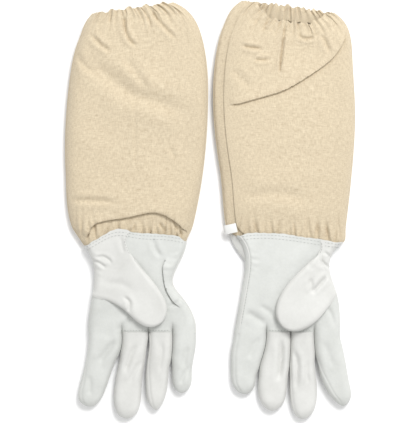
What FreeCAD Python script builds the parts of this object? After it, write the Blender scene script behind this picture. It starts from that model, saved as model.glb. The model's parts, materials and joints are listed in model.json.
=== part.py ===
"""Pair of beekeeping gloves: leather hands with long canvas sleeves, lying flat with the palms up.

Millimetres. +Z is up, +Y points from the fingertips to the sleeve mouths, and the gloves stand on z = 0
with the origin in the middle under the pair. Each cut panel, strip, band and label is a solid of its own.
"""
import FreeCAD, Part
import math
import os

Vector = FreeCAD.Vector

# Sheet goods
LEATHER = 1.2
CANVAS = 0.8
ELASTIC = 1.0

# Heights of the emptied gloves as they lie
HAND_HEIGHT = 16.0
SLEEVE_BOTTOM = LEATHER
SLEEVE_TOP = HAND_HEIGHT - LEATHER
THUMB_BOTTOM = HAND_HEIGHT + 0.3
THUMB_TOP = 30.0

# Lines that both gloves share
KNUCKLE_Y = -144.0
SPLIT_Y = -20.0
JOINT_GAP = 0.2

# Wrist elastic, cuff seam, sleeve mouth and size label
WRIST_Y = -68.0
WRIST_BAND = 10.0
STITCH_ROWS = (3.0, 8.0)
STITCH_COUNT = 20
STITCH = (4.0, 0.9, 0.4)
SIDE_SEAM = 1.6
BAND_SETBACK = 3.0
BAND_DEPTH = 12.0
BAND_INSET = SIDE_SEAM + 2.0
LABEL = (11.0, 8.0, 0.7)
LABEL_CORNER = (18.5, -29.5, SLEEVE_TOP)

# Thumb hole, from the thumb's base
THUMB_HOLE_R = 11.0
HOLE_SETBACK = 9.0
HOLE_MARGIN = 1.0

# Slot at each fingertip between its two side strips
TIP_SLOT = (0.3, 20.0)

FINGERS = ("index", "middle", "ring", "little")
FAR = 1000.0

# Outlines of the right-hand glove, whose thumb is on the -X side.
# Each finger runs down one side, round the tip and up the other side.
RIGHT = {
    "sleeve_left": [(-159, -20), (-168, 16), (-172, 84), (-167, 152), (-153, 207), (-135, 231)],
    "sleeve_right": [(-19, -20), (-8, 36), (-1, 118), (-6, 195), (-20, 229), (-42, 244)],
    "hem": [(-146, -42), (-126, -31), (-106, -23), (-84, -26), (-51, -28), (-25, -33)],
    "hand_left": [(-146, -42), (-135, -63), (-136, -100), (-140, -144)],
    "hand_right": [(-25, -33), (-36, -66), (-41, -86), (-31, -101), (-17, -124), (-14, -144)],
    "index": [(-140, -144), (-141, -162), (-146, -188), (-152, -211), (-152, -222), (-144, -230),
              (-134, -230), (-126, -222), (-120, -209), (-112, -186), (-104, -163), (-103, -144)],
    "middle": [(-99.5, -144), (-100, -160), (-106, -185), (-110, -208), (-110, -230), (-105, -241),
               (-96, -245), (-86, -241), (-80, -229), (-78, -205), (-72.5, -165), (-71, -144)],
    "ring": [(-68.5, -144), (-69.5, -162), (-73, -190), (-73, -212), (-69, -228), (-61, -235),
             (-53, -226), (-48, -209), (-45.5, -180), (-43.5, -160), (-43, -144)],
    "little": [(-40.5, -144), (-40, -162), (-42, -188), (-42, -200), (-39, -210), (-31, -215),
               (-22, -209), (-19, -190), (-15, -164), (-14, -144)],
    "thumb": [(-127, -104), (-112, -108), (-96, -118), (-80, -132), (-66, -136.5), (-53, -130),
              (-47.5, -115), (-54, -97), (-69, -77), (-83, -60)],
    "wing_seam": [(-97, -10), (-92, -38), (-86, -56)],
    "wing_edge": [(-86, -56), (-133, -103), (-150, -105), (-170, -10)],
    "cuff_canvas": [(-158.8, -20.2), (-147, -38), (-142, -44), (-134, -56),
                    (-34, -48), (-28, -36), (-24.6, -32), (-19.2, -20.2)],
}
LEFT = {
    "sleeve_left": [(22, -20), (11, 41), (2, 118), (5, 181), (18, 224), (41, 246)],
    "sleeve_right": [(161, -20), (169, 53), (172, 120), (169, 177), (162, 217), (147, 232)],
    "hem": [(33, -30), (49, -27), (90, -28), (124, -33), (159, -38)],
    "hand_left": [(33, -30), (44, -58), (42, -80), (36, -115), (31, -144)],
    "hand_right": [(159, -38), (143, -70), (152, -100), (155, -122), (155, -144)],
    "little": [(31, -144), (27.5, -165), (27, -190), (30, -207), (38, -215), (46, -216),
               (53, -210), (57, -193), (64, -165), (67, -144)],
    "ring": [(70, -144), (69.5, -160), (64, -178), (60, -195), (59.5, -218), (66, -231), (76, -236),
             (87, -229), (92.5, -211), (94.5, -185), (96, -160), (96, -144)],
    "middle": [(98.5, -144), (98, -165), (96.5, -190), (96, -212), (99, -233), (106, -244), (115, -245),
               (123, -238), (128, -220), (127, -195), (124, -165), (123, -144)],
    "index": [(126, -144), (127.5, -165), (131, -190), (139, -211), (149, -224), (160, -230),
              (167, -223), (166.5, -205), (162, -180), (158, -160), (155, -144)],
    "thumb": [(147, -106), (129, -127), (114, -138), (100, -141.5), (87, -136),
              (79.5, -123), (81, -107), (90, -90), (107, -71), (119, -60)],
    "wing_seam": [(140, -10), (133, -43), (123.5, -56)],
    "wing_edge": [(123.5, -56), (150, -101), (162, -102), (175, -10)],
    "cuff_canvas": [(22.2, -20.2), (31.8, -29), (37, -38), (41, -47),
                    (150, -52), (156, -42), (160.8, -37), (160.8, -20.2)],
}
OUTLINES = {"right": RIGHT, "left": LEFT}


def points_at(pairs, z=0.0):
    return [Vector(x, y, z) for x, y in pairs]


def curve(pairs):
    """A smooth edge through the points."""
    spline = Part.BSplineCurve()
    spline.interpolate(points_at(pairs))
    return spline.toShape()


def line(start, end):
    return Part.makeLine(*points_at([start, end]))


def face_of(edges):
    return Part.Face(Part.Wire(Part.__sortEdges__(edges)))


def polygon(pairs):
    return Part.Face(Part.makePolygon(points_at(list(pairs) + [pairs[0]])))


def prism(face, bottom, top):
    """The face pulled up between two heights."""
    solid = face.extrude(Vector(0, 0, top - bottom))
    solid.translate(Vector(0, 0, bottom))
    if solid.Volume < 0:
        solid.reverse()
    return solid


def beside(pairs, width, count=24):
    """A strip of the given width on the left-hand side of a curve, or on its right if negative."""
    edge = curve(pairs)
    inner = []
    for step in range(count + 1):
        place = edge.FirstParameter + (edge.LastParameter - edge.FirstParameter) * step / count
        point, along = edge.valueAt(place), edge.tangentAt(place)
        inner.append((point.x - along.y * width, point.y + along.x * width))
    return face_of([edge, curve(inner), line(pairs[0], inner[0]), line(pairs[-1], inner[-1])])


def slanted_strip(start, end, width):
    """A four-sided strip of constant width along X between two points."""
    return polygon([start, end, (end[0] + width, end[1]), (start[0] + width, start[1])])


def keep_between(shape, low_y, high_y):
    """The part of a shape that lies between two lines parallel to X."""
    return shape.common(Part.makeBox(FAR, high_y - low_y, FAR, Vector(-FAR / 2, low_y, -FAR / 2)))


def group(shapes):
    """Every solid of the shapes, in one compound."""
    return Part.makeCompound([solid for shape in shapes for solid in shape.Solids])


def export(name, shape):
    shape = group([shape.removeSplitter()])
    shape.exportStep(f"parts/{name}.step")


def tip_slot(pairs):
    """A narrow upright slot across the outline at its fingertip."""
    width, length = TIP_SLOT
    tip_x, tip_y = min(pairs, key=lambda pair: pair[1])
    return Part.makeBox(width, length, FAR, Vector(tip_x, tip_y - length / 2, -FAR / 2))


def thumb_base(pairs):
    """Middle of the thumb's open base, and the unit directions along it and into the thumb."""
    low, high = points_at([pairs[0], pairs[-1]])
    along = (high - low).normalize()
    inward = Vector(along.y, -along.x, 0)
    tip = points_at([pairs[len(pairs) // 2]])[0]
    if inward.dot(tip - low) < 0:
        inward = inward * -1
    return (low + high) * 0.5, along, inward


def thumb_hole(pairs):
    """The round hole in the palm through which the thumb goes into its stall."""
    middle, _, inward = thumb_base(pairs)
    return Part.makeCylinder(THUMB_HOLE_R, 2 * HAND_HEIGHT, middle + inward * HOLE_SETBACK)


def hand_face(cut):
    """The outline of the hand from the cuff's edge to the knuckles."""
    knuckles = line(cut["hand_left"][-1], cut["hand_right"][-1])
    return face_of([curve(cut["hem"]), curve(cut["hand_left"]), curve(cut["hand_right"]), knuckles])


def hand_walls(cut):
    """The two upright sides of the hand, inside its outline."""
    inner_bottom, inner_top = LEATHER, HAND_HEIGHT - LEATHER
    left = prism(beside(cut["hand_left"], LEATHER), inner_bottom, inner_top)
    right = prism(beside(cut["hand_right"], -LEATHER), inner_bottom, inner_top)
    return left, right


def wing_region(cut):
    """The area between the thumb side of the cuff and the thumb, which the wing covers."""
    edges = [curve(cut["wing_seam"])]
    corners = cut["wing_edge"] + [cut["wing_seam"][0]]
    edges += [line(a, b) for a, b in zip(corners, corners[1:])]
    return face_of(edges)


def stitch_rows(cut):
    """Separate stitches in rows below the cuff's edge, on the palm side."""
    edge = curve(cut["hem"])
    stitches = []
    first, last = edge.ParameterRange
    for row, depth in enumerate(STITCH_ROWS):
        for index in range(STITCH_COUNT):
            share = (index + 1 + 0.5 * row) / (STITCH_COUNT + 1.5)
            place = first + share * (last - first)
            point, along = edge.valueAt(place), edge.tangentAt(place)
            length, width, height = STITCH
            stitch = Part.makeBox(length, width, height, Vector(-length / 2, -width / 2, 0))
            stitch.rotate(Vector(0, 0, 0), Vector(0, 0, 1), math.degrees(math.atan2(along.y, along.x)))
            stitch.translate(Vector(point.x, point.y - depth, HAND_HEIGHT))
            stitches.append(stitch)
    return group(stitches)


def cuff_canvas(corners):
    """The canvas tucked into the cuff: back and front layers, and a seam at each side."""
    canvas = polygon(corners)
    inner_bottom, inner_top = SLEEVE_BOTTOM + CANVAS, SLEEVE_TOP - CANVAS
    seams = [slanted_strip(corners[0], corners[1], SIDE_SEAM),
             slanted_strip(corners[-1], corners[-2], -SIDE_SEAM)]
    layers = [prism(canvas, SLEEVE_BOTTOM, inner_bottom), prism(canvas, inner_top, SLEEVE_TOP)]
    return layers + [prism(seam, inner_bottom, inner_top) for seam in seams]


def make_hand(side, cut):
    """Back, palm, thumb wing, side walls, cuff canvas, wrist elastic and cuff stitching."""
    outline = hand_face(cut)
    lowest = KNUCKLE_Y + JOINT_GAP
    export(f"{side}_back_panel", keep_between(prism(outline, 0, LEATHER), lowest, FAR))

    palm_side = prism(outline, HAND_HEIGHT - LEATHER, HAND_HEIGHT)
    palm_side = keep_between(palm_side, lowest, FAR)
    wing = prism(wing_region(cut), HAND_HEIGHT - LEATHER, HAND_HEIGHT)
    hole = thumb_hole(cut["thumb"])
    export(f"{side}_thumb_wing", palm_side.common(wing).cut(hole))
    export(f"{side}_palm_panel", palm_side.cut(wing).cut(hole))

    left_wall, right_wall = [keep_between(wall, lowest, FAR) for wall in hand_walls(cut)]
    thumb_wall, outer_wall = (left_wall, right_wall) if side == "right" else (right_wall, left_wall)
    export(f"{side}_index_side_wrap", thumb_wall)
    export(f"{side}_outer_welt", outer_wall)

    band = Part.makeBox(FAR, WRIST_BAND, ELASTIC, Vector(-FAR / 2, WRIST_Y - WRIST_BAND / 2, LEATHER))
    band = band.common(prism(outline, 0, HAND_HEIGHT)).cut(left_wall).cut(right_wall)
    export(f"{side}_wrist_elastic", band)

    canvas_pieces = [piece.cut(left_wall).cut(right_wall) for piece in cuff_canvas(cut["cuff_canvas"])]
    export(f"{side}_cuff_canvas", group(canvas_pieces))
    above_palm = prism(outline, HAND_HEIGHT, THUMB_TOP)
    export(f"{side}_cuff_stitches", stitch_rows(cut).common(above_palm))


def make_finger(side, name, pairs):
    """Front and back panels and the two side strips, which meet at the fingertip."""
    outline = face_of([curve(pairs), line(pairs[-1], pairs[0])])
    highest = KNUCKLE_Y - JOINT_GAP
    back = prism(outline, 0, LEATHER)
    front = prism(outline, HAND_HEIGHT - LEATHER, HAND_HEIGHT)
    export(f"{side}_{name}_back", keep_between(back, -FAR, highest))
    export(f"{side}_{name}_front", keep_between(front, -FAR, highest))
    sides = prism(beside(pairs, LEATHER), LEATHER, HAND_HEIGHT - LEATHER)
    export(f"{side}_{name}_sides", keep_between(sides.cut(tip_slot(pairs)), -FAR, highest))


def make_thumb(side, cut):
    """The thumb stall, folded over the palm and open at its base."""
    pairs = cut["thumb"]
    outline = face_of([curve(pairs), line(pairs[-1], pairs[0])])
    export(f"{side}_thumb_back", prism(outline, THUMB_TOP - LEATHER, THUMB_TOP))

    middle, along, inward = thumb_base(pairs)
    near = middle + inward * (HOLE_SETBACK + THUMB_HOLE_R + HOLE_MARGIN)
    far = near + inward * FAR
    corners = [near - along * FAR, near + along * FAR, far + along * FAR, far - along * FAR]
    beyond_hole = polygon([(corner.x, corner.y) for corner in corners])
    lower = prism(outline, THUMB_BOTTOM, THUMB_BOTTOM + LEATHER)
    export(f"{side}_thumb_palm_side", lower.common(prism(beyond_hole, 0, THUMB_TOP)))

    width = LEATHER if side == "right" else -LEATHER
    rim = prism(beside(pairs, width), THUMB_BOTTOM + LEATHER, THUMB_TOP - LEATHER)
    export(f"{side}_thumb_sides", rim.cut(tip_slot(pairs)))


def mouth_ring(corners, outer_bottom, outer_top, inset, thickness):
    """A flat tube just inside the sleeve's mouth, along the mouth's own slant."""
    left, right = points_at(corners)
    middle = (left + right) * 0.5
    width = (right - left).Length - 2 * inset
    outer = Part.makeBox(width, BAND_DEPTH, outer_top - outer_bottom,
                         Vector(-width / 2, -BAND_SETBACK - BAND_DEPTH, outer_bottom))
    inner = Part.makeBox(width - 2 * thickness, 3 * BAND_DEPTH, outer_top - outer_bottom - 2 * thickness,
                         Vector(thickness - width / 2, -2 * BAND_DEPTH, outer_bottom + thickness))
    ring = outer.cut(inner)
    slant = math.degrees(math.atan2(right.y - left.y, right.x - left.x))
    ring.rotate(Vector(0, 0, 0), Vector(0, 0, 1), slant)
    ring.translate(Vector(middle.x, middle.y, 0))
    return ring


def make_sleeve(side, cut):
    """Front and back canvas, side seams, and the elastic in its casing at the mouth."""
    left, right = cut["sleeve_left"], cut["sleeve_right"]
    outline = face_of([curve(left), curve(right), line(left[-1], right[-1]), line(left[0], right[0])])
    lowest, highest = SPLIT_Y + JOINT_GAP, FAR
    back = prism(outline, SLEEVE_BOTTOM, SLEEVE_BOTTOM + CANVAS)
    front = prism(outline, SLEEVE_TOP - CANVAS, SLEEVE_TOP)
    export(f"{side}_sleeve_back", keep_between(back, lowest, highest))
    export(f"{side}_sleeve_front", keep_between(front, lowest, highest))
    inner_bottom, inner_top = SLEEVE_BOTTOM + CANVAS, SLEEVE_TOP - CANVAS
    seams = [prism(beside(left, -SIDE_SEAM), inner_bottom, inner_top),
             prism(beside(right, SIDE_SEAM), inner_bottom, inner_top)]
    export(f"{side}_sleeve_side_seams", keep_between(group(seams), lowest, highest))
    mouth = (left[-1], right[-1])
    elastic = mouth_ring(mouth, inner_bottom, inner_top, BAND_INSET, ELASTIC)
    casing = mouth_ring(mouth, inner_bottom + ELASTIC, inner_top - ELASTIC, BAND_INSET + ELASTIC, CANVAS)
    export(f"{side}_mouth_elastic", elastic)
    export(f"{side}_elastic_casing", casing)


def make_label():
    """A blank size label folded into the cuff of the left-hand glove."""
    export("left_size_label", Part.makeBox(*LABEL, Vector(*LABEL_CORNER)))


def main():
    os.makedirs("parts", exist_ok=True)
    for side, cut in OUTLINES.items():
        make_hand(side, cut)
        for name in FINGERS:
            make_finger(side, name, cut[name])
        make_thumb(side, cut)
        make_sleeve(side, cut)
    make_label()


main()
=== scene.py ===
import json
import math

import bpy
import numpy as np
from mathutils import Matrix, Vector


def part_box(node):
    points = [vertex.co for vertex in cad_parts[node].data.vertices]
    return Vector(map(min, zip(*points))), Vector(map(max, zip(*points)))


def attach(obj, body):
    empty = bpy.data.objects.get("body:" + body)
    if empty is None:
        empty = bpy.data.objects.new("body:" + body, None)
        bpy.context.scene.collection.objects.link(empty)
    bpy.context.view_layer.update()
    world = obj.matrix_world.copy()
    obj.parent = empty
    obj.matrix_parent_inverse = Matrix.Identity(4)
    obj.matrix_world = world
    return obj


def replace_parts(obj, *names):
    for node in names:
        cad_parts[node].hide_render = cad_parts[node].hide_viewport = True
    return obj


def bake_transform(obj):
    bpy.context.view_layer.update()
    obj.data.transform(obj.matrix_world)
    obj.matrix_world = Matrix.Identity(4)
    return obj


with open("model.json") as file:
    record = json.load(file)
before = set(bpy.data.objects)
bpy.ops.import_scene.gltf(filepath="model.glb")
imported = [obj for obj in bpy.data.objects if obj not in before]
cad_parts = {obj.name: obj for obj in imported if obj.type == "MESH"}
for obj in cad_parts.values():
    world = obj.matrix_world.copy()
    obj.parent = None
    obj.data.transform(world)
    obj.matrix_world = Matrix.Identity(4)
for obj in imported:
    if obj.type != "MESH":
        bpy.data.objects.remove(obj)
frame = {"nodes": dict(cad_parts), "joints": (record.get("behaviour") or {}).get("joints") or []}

bl_info = {
    "name": "Beekeeping Gloves",
    "version": (1, 0, 0),
    "blender": (4, 5, 0),
    "location": "3D View > Sidebar > Gloves",
    "description": "Builds a pair of leather beekeeping gloves with long canvas sleeves",
    "category": "Add Mesh",
}

# Lengths are in millimetres until a mesh is written, in metres.
MM = 0.001
SIDES = ("right", "left")
FINGERS = ("index", "middle", "ring", "little")
KNUCKLE = next(j for j in frame["joints"] if j["name"] == "right_index_curl")["pos_m"][1] / MM
WRIST = -62.0

# Thickness of the leather and of the canvas, and the flat width and length of a canvas sheet
LEATHER = 1.2
CANVAS = 0.8
CLOTH = (175.0, 290.0)

# Width of the round edge of the hand and fingers, of the thumb and of the sleeve
EDGE = 9.0
THUMB_EDGE = 6.0
CANVAS_EDGE = 15.0

# The most of a tube's width that one round edge may take
EDGE_SHARE = 0.46

# How far round its edge a seam lies: out of sight, or where the side strip shows from above
SEAM_TURN = math.asin(0.42)
WIDE_SEAM = math.radians(62.0)

# Depth of the groove along a seam, as a share of the rise, and its width
GROOVE = 0.08
THUMB_GROOVE = 0.06
GROOVE_WIDTH = 1.3

# Heights of the middle of the edges above the table, and how far the leather rises and drops from there
MIDDLE = 7.5
FINGER_RISE = 8.0
PALM_RISE = 9.0
THUMB_MIDDLE = 21.4
THUMB_RISE = 4.8
THUMB_DROP = 4.0

# How far the wing lies above the palm, and its number of rows from the cuff to its lower end
WING_LAP = 1.3
WING_SEAM_END = 55

# Half the gap between neighbouring fingers, and the length over which they part
WEB_GAP = 0.15
WEB_OPENING = 16.0

# How far the left edge of a sleeve is drawn in from its panel
SLEEVE_TUCK = 5.0

# How much deeper the folds of the leather are than their tables say
LEATHER_FOLDS = 1.5

# Rows and columns of the sheets
PER_FINGER = 22
FINGER_ROWS = 64
HAND_ROWS = 96
SLEEVE_ROWS = 210
SLEEVE_COLUMNS = 150
SLEEVE_BACK_COLUMNS = 110

# Seeds of the uneven shapes of the right glove, and 1 more for the left one
SEEDS = {
    "palm": 11,
    "palm_fine": 13,
    "wing": 31,
    "sleeve": 51,
    "sleeve_fine": 61,
    "gathers": 71,
    "pleats": 81,
}
FINGER_SEED = 100


# ---------------------------------------------------------------- small maths

def smooth(value):
    value = np.clip(value, 0.0, 1.0)
    return value * value * (3.0 - 2.0 * value)


def mix(a, b, share):
    return a + (b - a) * share


def quarter(value):
    """The height of a quarter round, 0 at its edge and 1 from its end on."""
    return np.sqrt(np.clip(1.0 - (1.0 - np.clip(value, 0.0, 1.0)) ** 2, 0.0, 1.0))


def seed_of(what, side):
    return SEEDS[what] + SIDES.index(side)


def crowded(count):
    """Shares from 0 to 1 that lie closer together near both ends."""
    even = np.linspace(0, 1, count)
    return even - 0.7 * np.sin(2 * math.pi * even) / (2 * math.pi)


def ripple(seed, u, v, count, low, high):
    """Soft unevenness between about -1 and 1, as a few waves in random directions."""
    dice = np.random.default_rng(seed)
    total = np.zeros(np.broadcast(u, v).shape)
    for _ in range(count):
        turn = dice.uniform(0, 2 * math.pi)
        waves = dice.uniform(low, high) * 2 * math.pi
        start = dice.uniform(0, 2 * math.pi)
        total += np.sin(waves * (u * math.cos(turn) + v * math.sin(turn)) + start)
    return total / math.sqrt(count * 2.0)


def soft_path(points):
    """A smooth line through a few points, and the share of its length at each place."""
    per_leg = 10
    points = np.array(points, float)
    padded = np.vstack([2 * points[0] - points[1], points, 2 * points[-1] - points[-2]])
    line = []
    for before, start, end, after in zip(padded, padded[1:], padded[2:], padded[3:]):
        for step in np.arange(per_leg) / per_leg:
            line.append(0.5 * (2 * start + (end - before) * step
                               + (2 * before - 5 * start + 4 * end - after) * step ** 2
                               + (3 * start - before - 3 * end + after) * step ** 3))
    line.append(points[-1])
    line = np.array(line)
    return line, shares_along(line)


def across_path(line, share, x, y):
    """Distance of places from a line, positive on its left, the share of its length, and the way left."""
    best = np.full(np.shape(x), 1e9)
    side = np.zeros(np.shape(x))
    along = np.zeros(np.shape(x))
    left = np.zeros((*np.shape(x), 2))
    for k in range(len(line) - 1):
        (ax, ay), (bx, by) = line[k], line[k + 1]
        dx, dy = bx - ax, by - ay
        length = math.hypot(dx, dy) or 1e-9
        place = np.clip(((x - ax) * dx + (y - ay) * dy) / length ** 2, 0, 1)
        px, py = x - (ax + place * dx), y - (ay + place * dy)
        gap = np.hypot(px, py)
        near = gap < best
        best = np.where(near, gap, best)
        side = np.where(near, np.sign(dx * (y - ay) - dy * (x - ax)), side)
        along = np.where(near, mix(share[k], share[k + 1], place), along)
        left = np.where(near[..., None], (-dy / length, dx / length), left)
    return best * side, along, left


def fold(x, y, points, height, reach, dip, push, fade):
    """Cloth that hangs over a line from its left and dips on its right, as moves along x, y and z."""
    distance, along, left = across_path(*soft_path(points), x, y)
    strength = smooth(along / fade) * smooth((1.0 - along) / fade)
    high = np.clip(distance, 0, None)
    low = np.clip(-distance, 0, None)
    up = height * (np.exp(-high / reach) - 0.4 * np.exp(-(high / 1.6) ** 2))
    down = -dip * height * np.exp(-low / (0.4 * reach))
    z = strength * np.where(distance > 0, up, down)
    bent = 2.4 * push
    share = np.clip(high / bent, 0.0, 1.0)
    over = np.where(distance > 0, -strength * (push + bent * share - (push + bent) * share ** 2.3), 0.0)
    return np.concatenate([left * over[..., None], z[..., None]], axis=-1)


def crease(x, y, points, depth, width, lips=0.35, fade=0.25):
    """A furrow along a line with soft lips on both sides, as moves along x, y and z."""
    distance, along, left = across_path(*soft_path(points), x, y)
    strength = smooth(along / fade) * smooth((1.0 - along) / fade)
    furrow = -np.exp(-(distance / width) ** 2)
    lip = lips * np.exp(-((np.abs(distance) - 2.2 * width) / (1.4 * width)) ** 2)
    z = depth * strength * (furrow + lip)
    return np.concatenate([np.zeros_like(left), z[..., None]], axis=-1)


def furrows(dice, places, across, down, leaning, ranges, lip, hold=1.0):
    """Short furrows that run from an edge, each with a lip on its right, as a height."""
    lip_height, lip_place, lip_width = lip
    total = np.zeros(np.shape(across))
    for place in places:
        length, lean, width, depth = [dice.uniform(*limits) for limits in ranges]
        gap = across - place - lean * leaning
        fade = np.exp(-(np.clip(down, 0, None) / length) ** 1.6) * hold
        ridge = lip_height * np.exp(-((gap - lip_place * width) / (lip_width * width)) ** 2)
        total -= depth * fade * (np.exp(-(gap / width) ** 2) - ridge)
    return total


def shifted(points, folds, place, strength):
    """The points moved by folds and creases whose places are given as shares."""
    x, y = points[..., 0], points[..., 1]
    total = np.zeros(points.shape)
    for kind, shares, *values in folds:
        total += kind(x, y, [place(a, b) for a, b in shares], *values)
    return points + total * strength[..., None]


# ---------------------------------------------------------------- reading the frame's panels

def panel_corners(node):
    mesh = frame["nodes"][node].data
    corners = np.empty(len(mesh.vertices) * 3, np.float32)
    mesh.vertices.foreach_get("co", corners)
    return corners.reshape(-1, 3).astype(float) / MM


def panel_edges(*nodes):
    """Every edge of the panels, seen from above."""
    found = []
    for node in nodes:
        mesh = frame["nodes"][node].data
        pairs = np.empty(len(mesh.edges) * 2, np.int32)
        mesh.edges.foreach_get("vertices", pairs)
        found.append(panel_corners(node)[pairs.reshape(-1, 2)][:, :, :2])
    return np.concatenate(found)


def span_at(edges, value, axis=1):
    """Where a line of constant y, or of constant x, first and last crosses the edges."""
    start, end = edges[:, 0], edges[:, 1]
    low = np.minimum(start[:, axis], end[:, axis])
    high = np.maximum(start[:, axis], end[:, axis])
    hit = (low <= value) & (value <= high) & (high - low > 1e-6)
    if not hit.any():
        return math.nan, math.nan
    share = (value - start[hit, axis]) / (end[hit, axis] - start[hit, axis])
    places = mix(start[hit, 1 - axis], end[hit, 1 - axis], share)
    return places.min(), places.max()


def side_table(edges, low, high, which, axis=1, count=220):
    """One side of an outline as a table: which is 0 for its lower side and 1 for its upper."""
    places = np.linspace(low, high, count)
    values = np.array([span_at(edges, place, axis)[which] for place in places])
    known = np.isfinite(values)
    places, values = places[known], values[known]
    window = np.ones(5) / 5
    values[2:-2] = np.convolve(values, window, mode="valid")
    return places, values


def outline_loop(node):
    """The outline of a flat panel as an ordered loop of points."""
    mesh = frame["nodes"][node].data
    corners = panel_corners(node)
    top = corners[:, 2].max() - 0.01
    count = {}
    for polygon in mesh.polygons:
        ring = [corners[v] for v in polygon.vertices]
        if min(point[2] for point in ring) < top:
            continue
        keys = [(round(p[0], 2), round(p[1], 2)) for p in ring]
        for a, b in zip(keys, keys[1:] + keys[:1]):
            count[(a, b)] = count.get((a, b), 0) + 1
    after = {a: b for (a, b) in count if (b, a) not in count}
    start = next(iter(after))
    loop = [start]
    while after[loop[-1]] != start:
        loop.append(after[loop[-1]])
    return np.array(loop)


def split_at_longest(loop, allowed=lambda a, b: True):
    """The loop as an open line that starts and ends at the two ends of its longest straight edge."""
    ends = np.roll(loop, -1, axis=0)
    lengths = [np.hypot(*(b - a)) if allowed(a, b) else 0.0 for a, b in zip(loop, ends)]
    longest = int(np.argmax(lengths))
    return np.roll(loop, -(longest + 1), axis=0)


def shares_along(line):
    """The share of a line's length at each of its points."""
    run = np.concatenate([[0.0], np.cumsum(np.linalg.norm(np.diff(line, axis=0), axis=1))])
    return run / run[-1]


def resample(line, shares):
    """Points at the given shares of a line's length."""
    line = np.array(line, float)
    run = shares_along(line)
    return np.stack([np.interp(shares, run, column) for column in line.T], axis=-1)


def rounded(line, passes):
    """The line with its corners eased, its ends kept."""
    line = np.array(line, float)
    for _ in range(passes):
        line[1:-1] = 0.25 * line[:-2] + 0.5 * line[1:-1] + 0.25 * line[2:]
    return line


# ---------------------------------------------------------------- making pieces

def deselect():
    if bpy.context.object and bpy.context.object.mode != "OBJECT":
        bpy.ops.object.mode_set(mode="OBJECT")
    bpy.ops.object.select_all(action="DESELECT")


def activate(piece):
    deselect()
    piece.select_set(True)
    bpy.context.view_layer.objects.active = piece
    return piece


def dress(piece, name, look, angle):
    """Gives a piece its material, its name, and smooth shading below an angle in degrees."""
    piece.data.materials.clear()
    piece.data.materials.append(bpy.data.materials[look])
    piece.name = piece.data.name = name
    activate(piece)
    bpy.ops.object.shade_smooth_by_angle(angle=math.radians(angle))
    return piece


def grid(points):
    """An open sheet whose corners lie at points[row, column], in millimetres."""
    rows, columns = points.shape[:2]
    deselect()
    bpy.ops.mesh.primitive_grid_add(x_subdivisions=columns - 1, y_subdivisions=rows - 1, size=1.0)
    sheet = bpy.context.object
    count = len(sheet.data.vertices)
    flat = np.empty(count * 3, np.float32)
    sheet.data.vertices.foreach_get("co", flat)
    flat = flat.reshape(-1, 3)
    column = np.rint((flat[:, 0] + 0.5) * (columns - 1)).astype(int)
    row = np.rint((flat[:, 1] + 0.5) * (rows - 1)).astype(int)
    placed = points[row, column] * MM
    sheet.data.vertices.foreach_set("co", placed.astype(np.float32).ravel())
    sheet.data.update()
    return sheet


def join(pieces):
    first = activate(pieces[0])
    for piece in pieces[1:]:
        piece.select_set(True)
    if len(pieces) > 1:
        bpy.ops.object.join()
    return first


def weld(piece):
    """Joins corners that lie in the same place."""
    activate(piece)
    bpy.ops.object.mode_set(mode="EDIT")
    bpy.ops.mesh.select_all(action="SELECT")
    bpy.ops.mesh.remove_doubles(threshold=0.03 * MM)
    bpy.ops.object.mode_set(mode="OBJECT")


def face_away_from(piece, core):
    """Turns the faces so that they look away from the middle of the hollow, given as a height."""
    mesh = piece.data
    if sum((p.center.z - core * MM) * p.normal.z * p.area for p in mesh.polygons) < 0:
        mesh.flip_normals()


def thicken(piece, thickness):
    activate(piece)
    solid = piece.modifiers.new("Thickness", "SOLIDIFY")
    solid.thickness = thickness * MM
    solid.offset = -1.0
    bpy.ops.object.modifier_apply(modifier=solid.name)


def set_cloth_uv(piece):
    """Flat cloth measures in metres, from the grid's own layout."""
    layer = piece.data.uv_layers.active
    values = np.empty(len(layer.data) * 2, np.float32)
    layer.data.foreach_get("uv", values)
    values = values.reshape(-1, 2) * np.array(CLOTH, np.float32) * MM
    layer.data.foreach_set("uv", values.ravel())


def cut_away(piece, covered):
    """Removes the faces whose middles are covered, given a test of places in millimetres."""
    middles = np.array([polygon.center for polygon in piece.data.polygons]) / MM
    hidden = covered(middles[:, 0], middles[:, 1])
    activate(piece)
    bpy.context.tool_settings.mesh_select_mode = (False, False, True)
    for parts in (piece.data.vertices, piece.data.edges):
        parts.foreach_set("select", np.zeros(len(parts), bool))
    piece.data.polygons.foreach_set("select", hidden)
    bpy.ops.object.mode_set(mode="EDIT")
    bpy.ops.mesh.delete(type="FACE")
    bpy.ops.object.mode_set(mode="OBJECT")


def sheet_piece(name, grids, look, thickness=LEATHER, core=MIDDLE, covered=None):
    """One sheet of leather or cloth, from one or more grids of points that are welded together."""
    made = []
    for points in grids:
        part = grid(points)
        if covered:
            cut_away(part, covered)
        if look == "Canvas":
            set_cloth_uv(part)
        face_away_from(part, core)
        made.append(part)
    piece = join(made)
    weld(piece)
    thicken(piece, thickness)
    return dress(piece, name, look, 50.0)


def joined_piece(name, parts, look):
    """Beads or rows of stitches as one piece."""
    return dress(join(parts), name, look, 60.0)


def guide(points):
    """A line through points to sew or bend along, in millimetres."""
    deselect()
    bpy.ops.curve.primitive_nurbs_path_add()
    curve = bpy.context.object
    curve.data.splines.clear()
    spline = curve.data.splines.new("POLY")
    spline.points.add(len(points) - 1)
    for place, point in zip(spline.points, points):
        place.co = (point[0] * MM, point[1] * MM, point[2] * MM, 1.0)
    curve.data.dimensions = "3D"
    curve.data.twist_mode = "Z_UP"
    return curve


def bead(points, radius):
    """A round bead along a line of points, with closed ends."""
    curve = guide(points)
    curve.data.bevel_depth = radius * MM
    curve.data.bevel_resolution = 2
    curve.data.use_fill_caps = True
    activate(curve)
    bpy.ops.object.convert(target="MESH")
    return bpy.context.object


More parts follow.
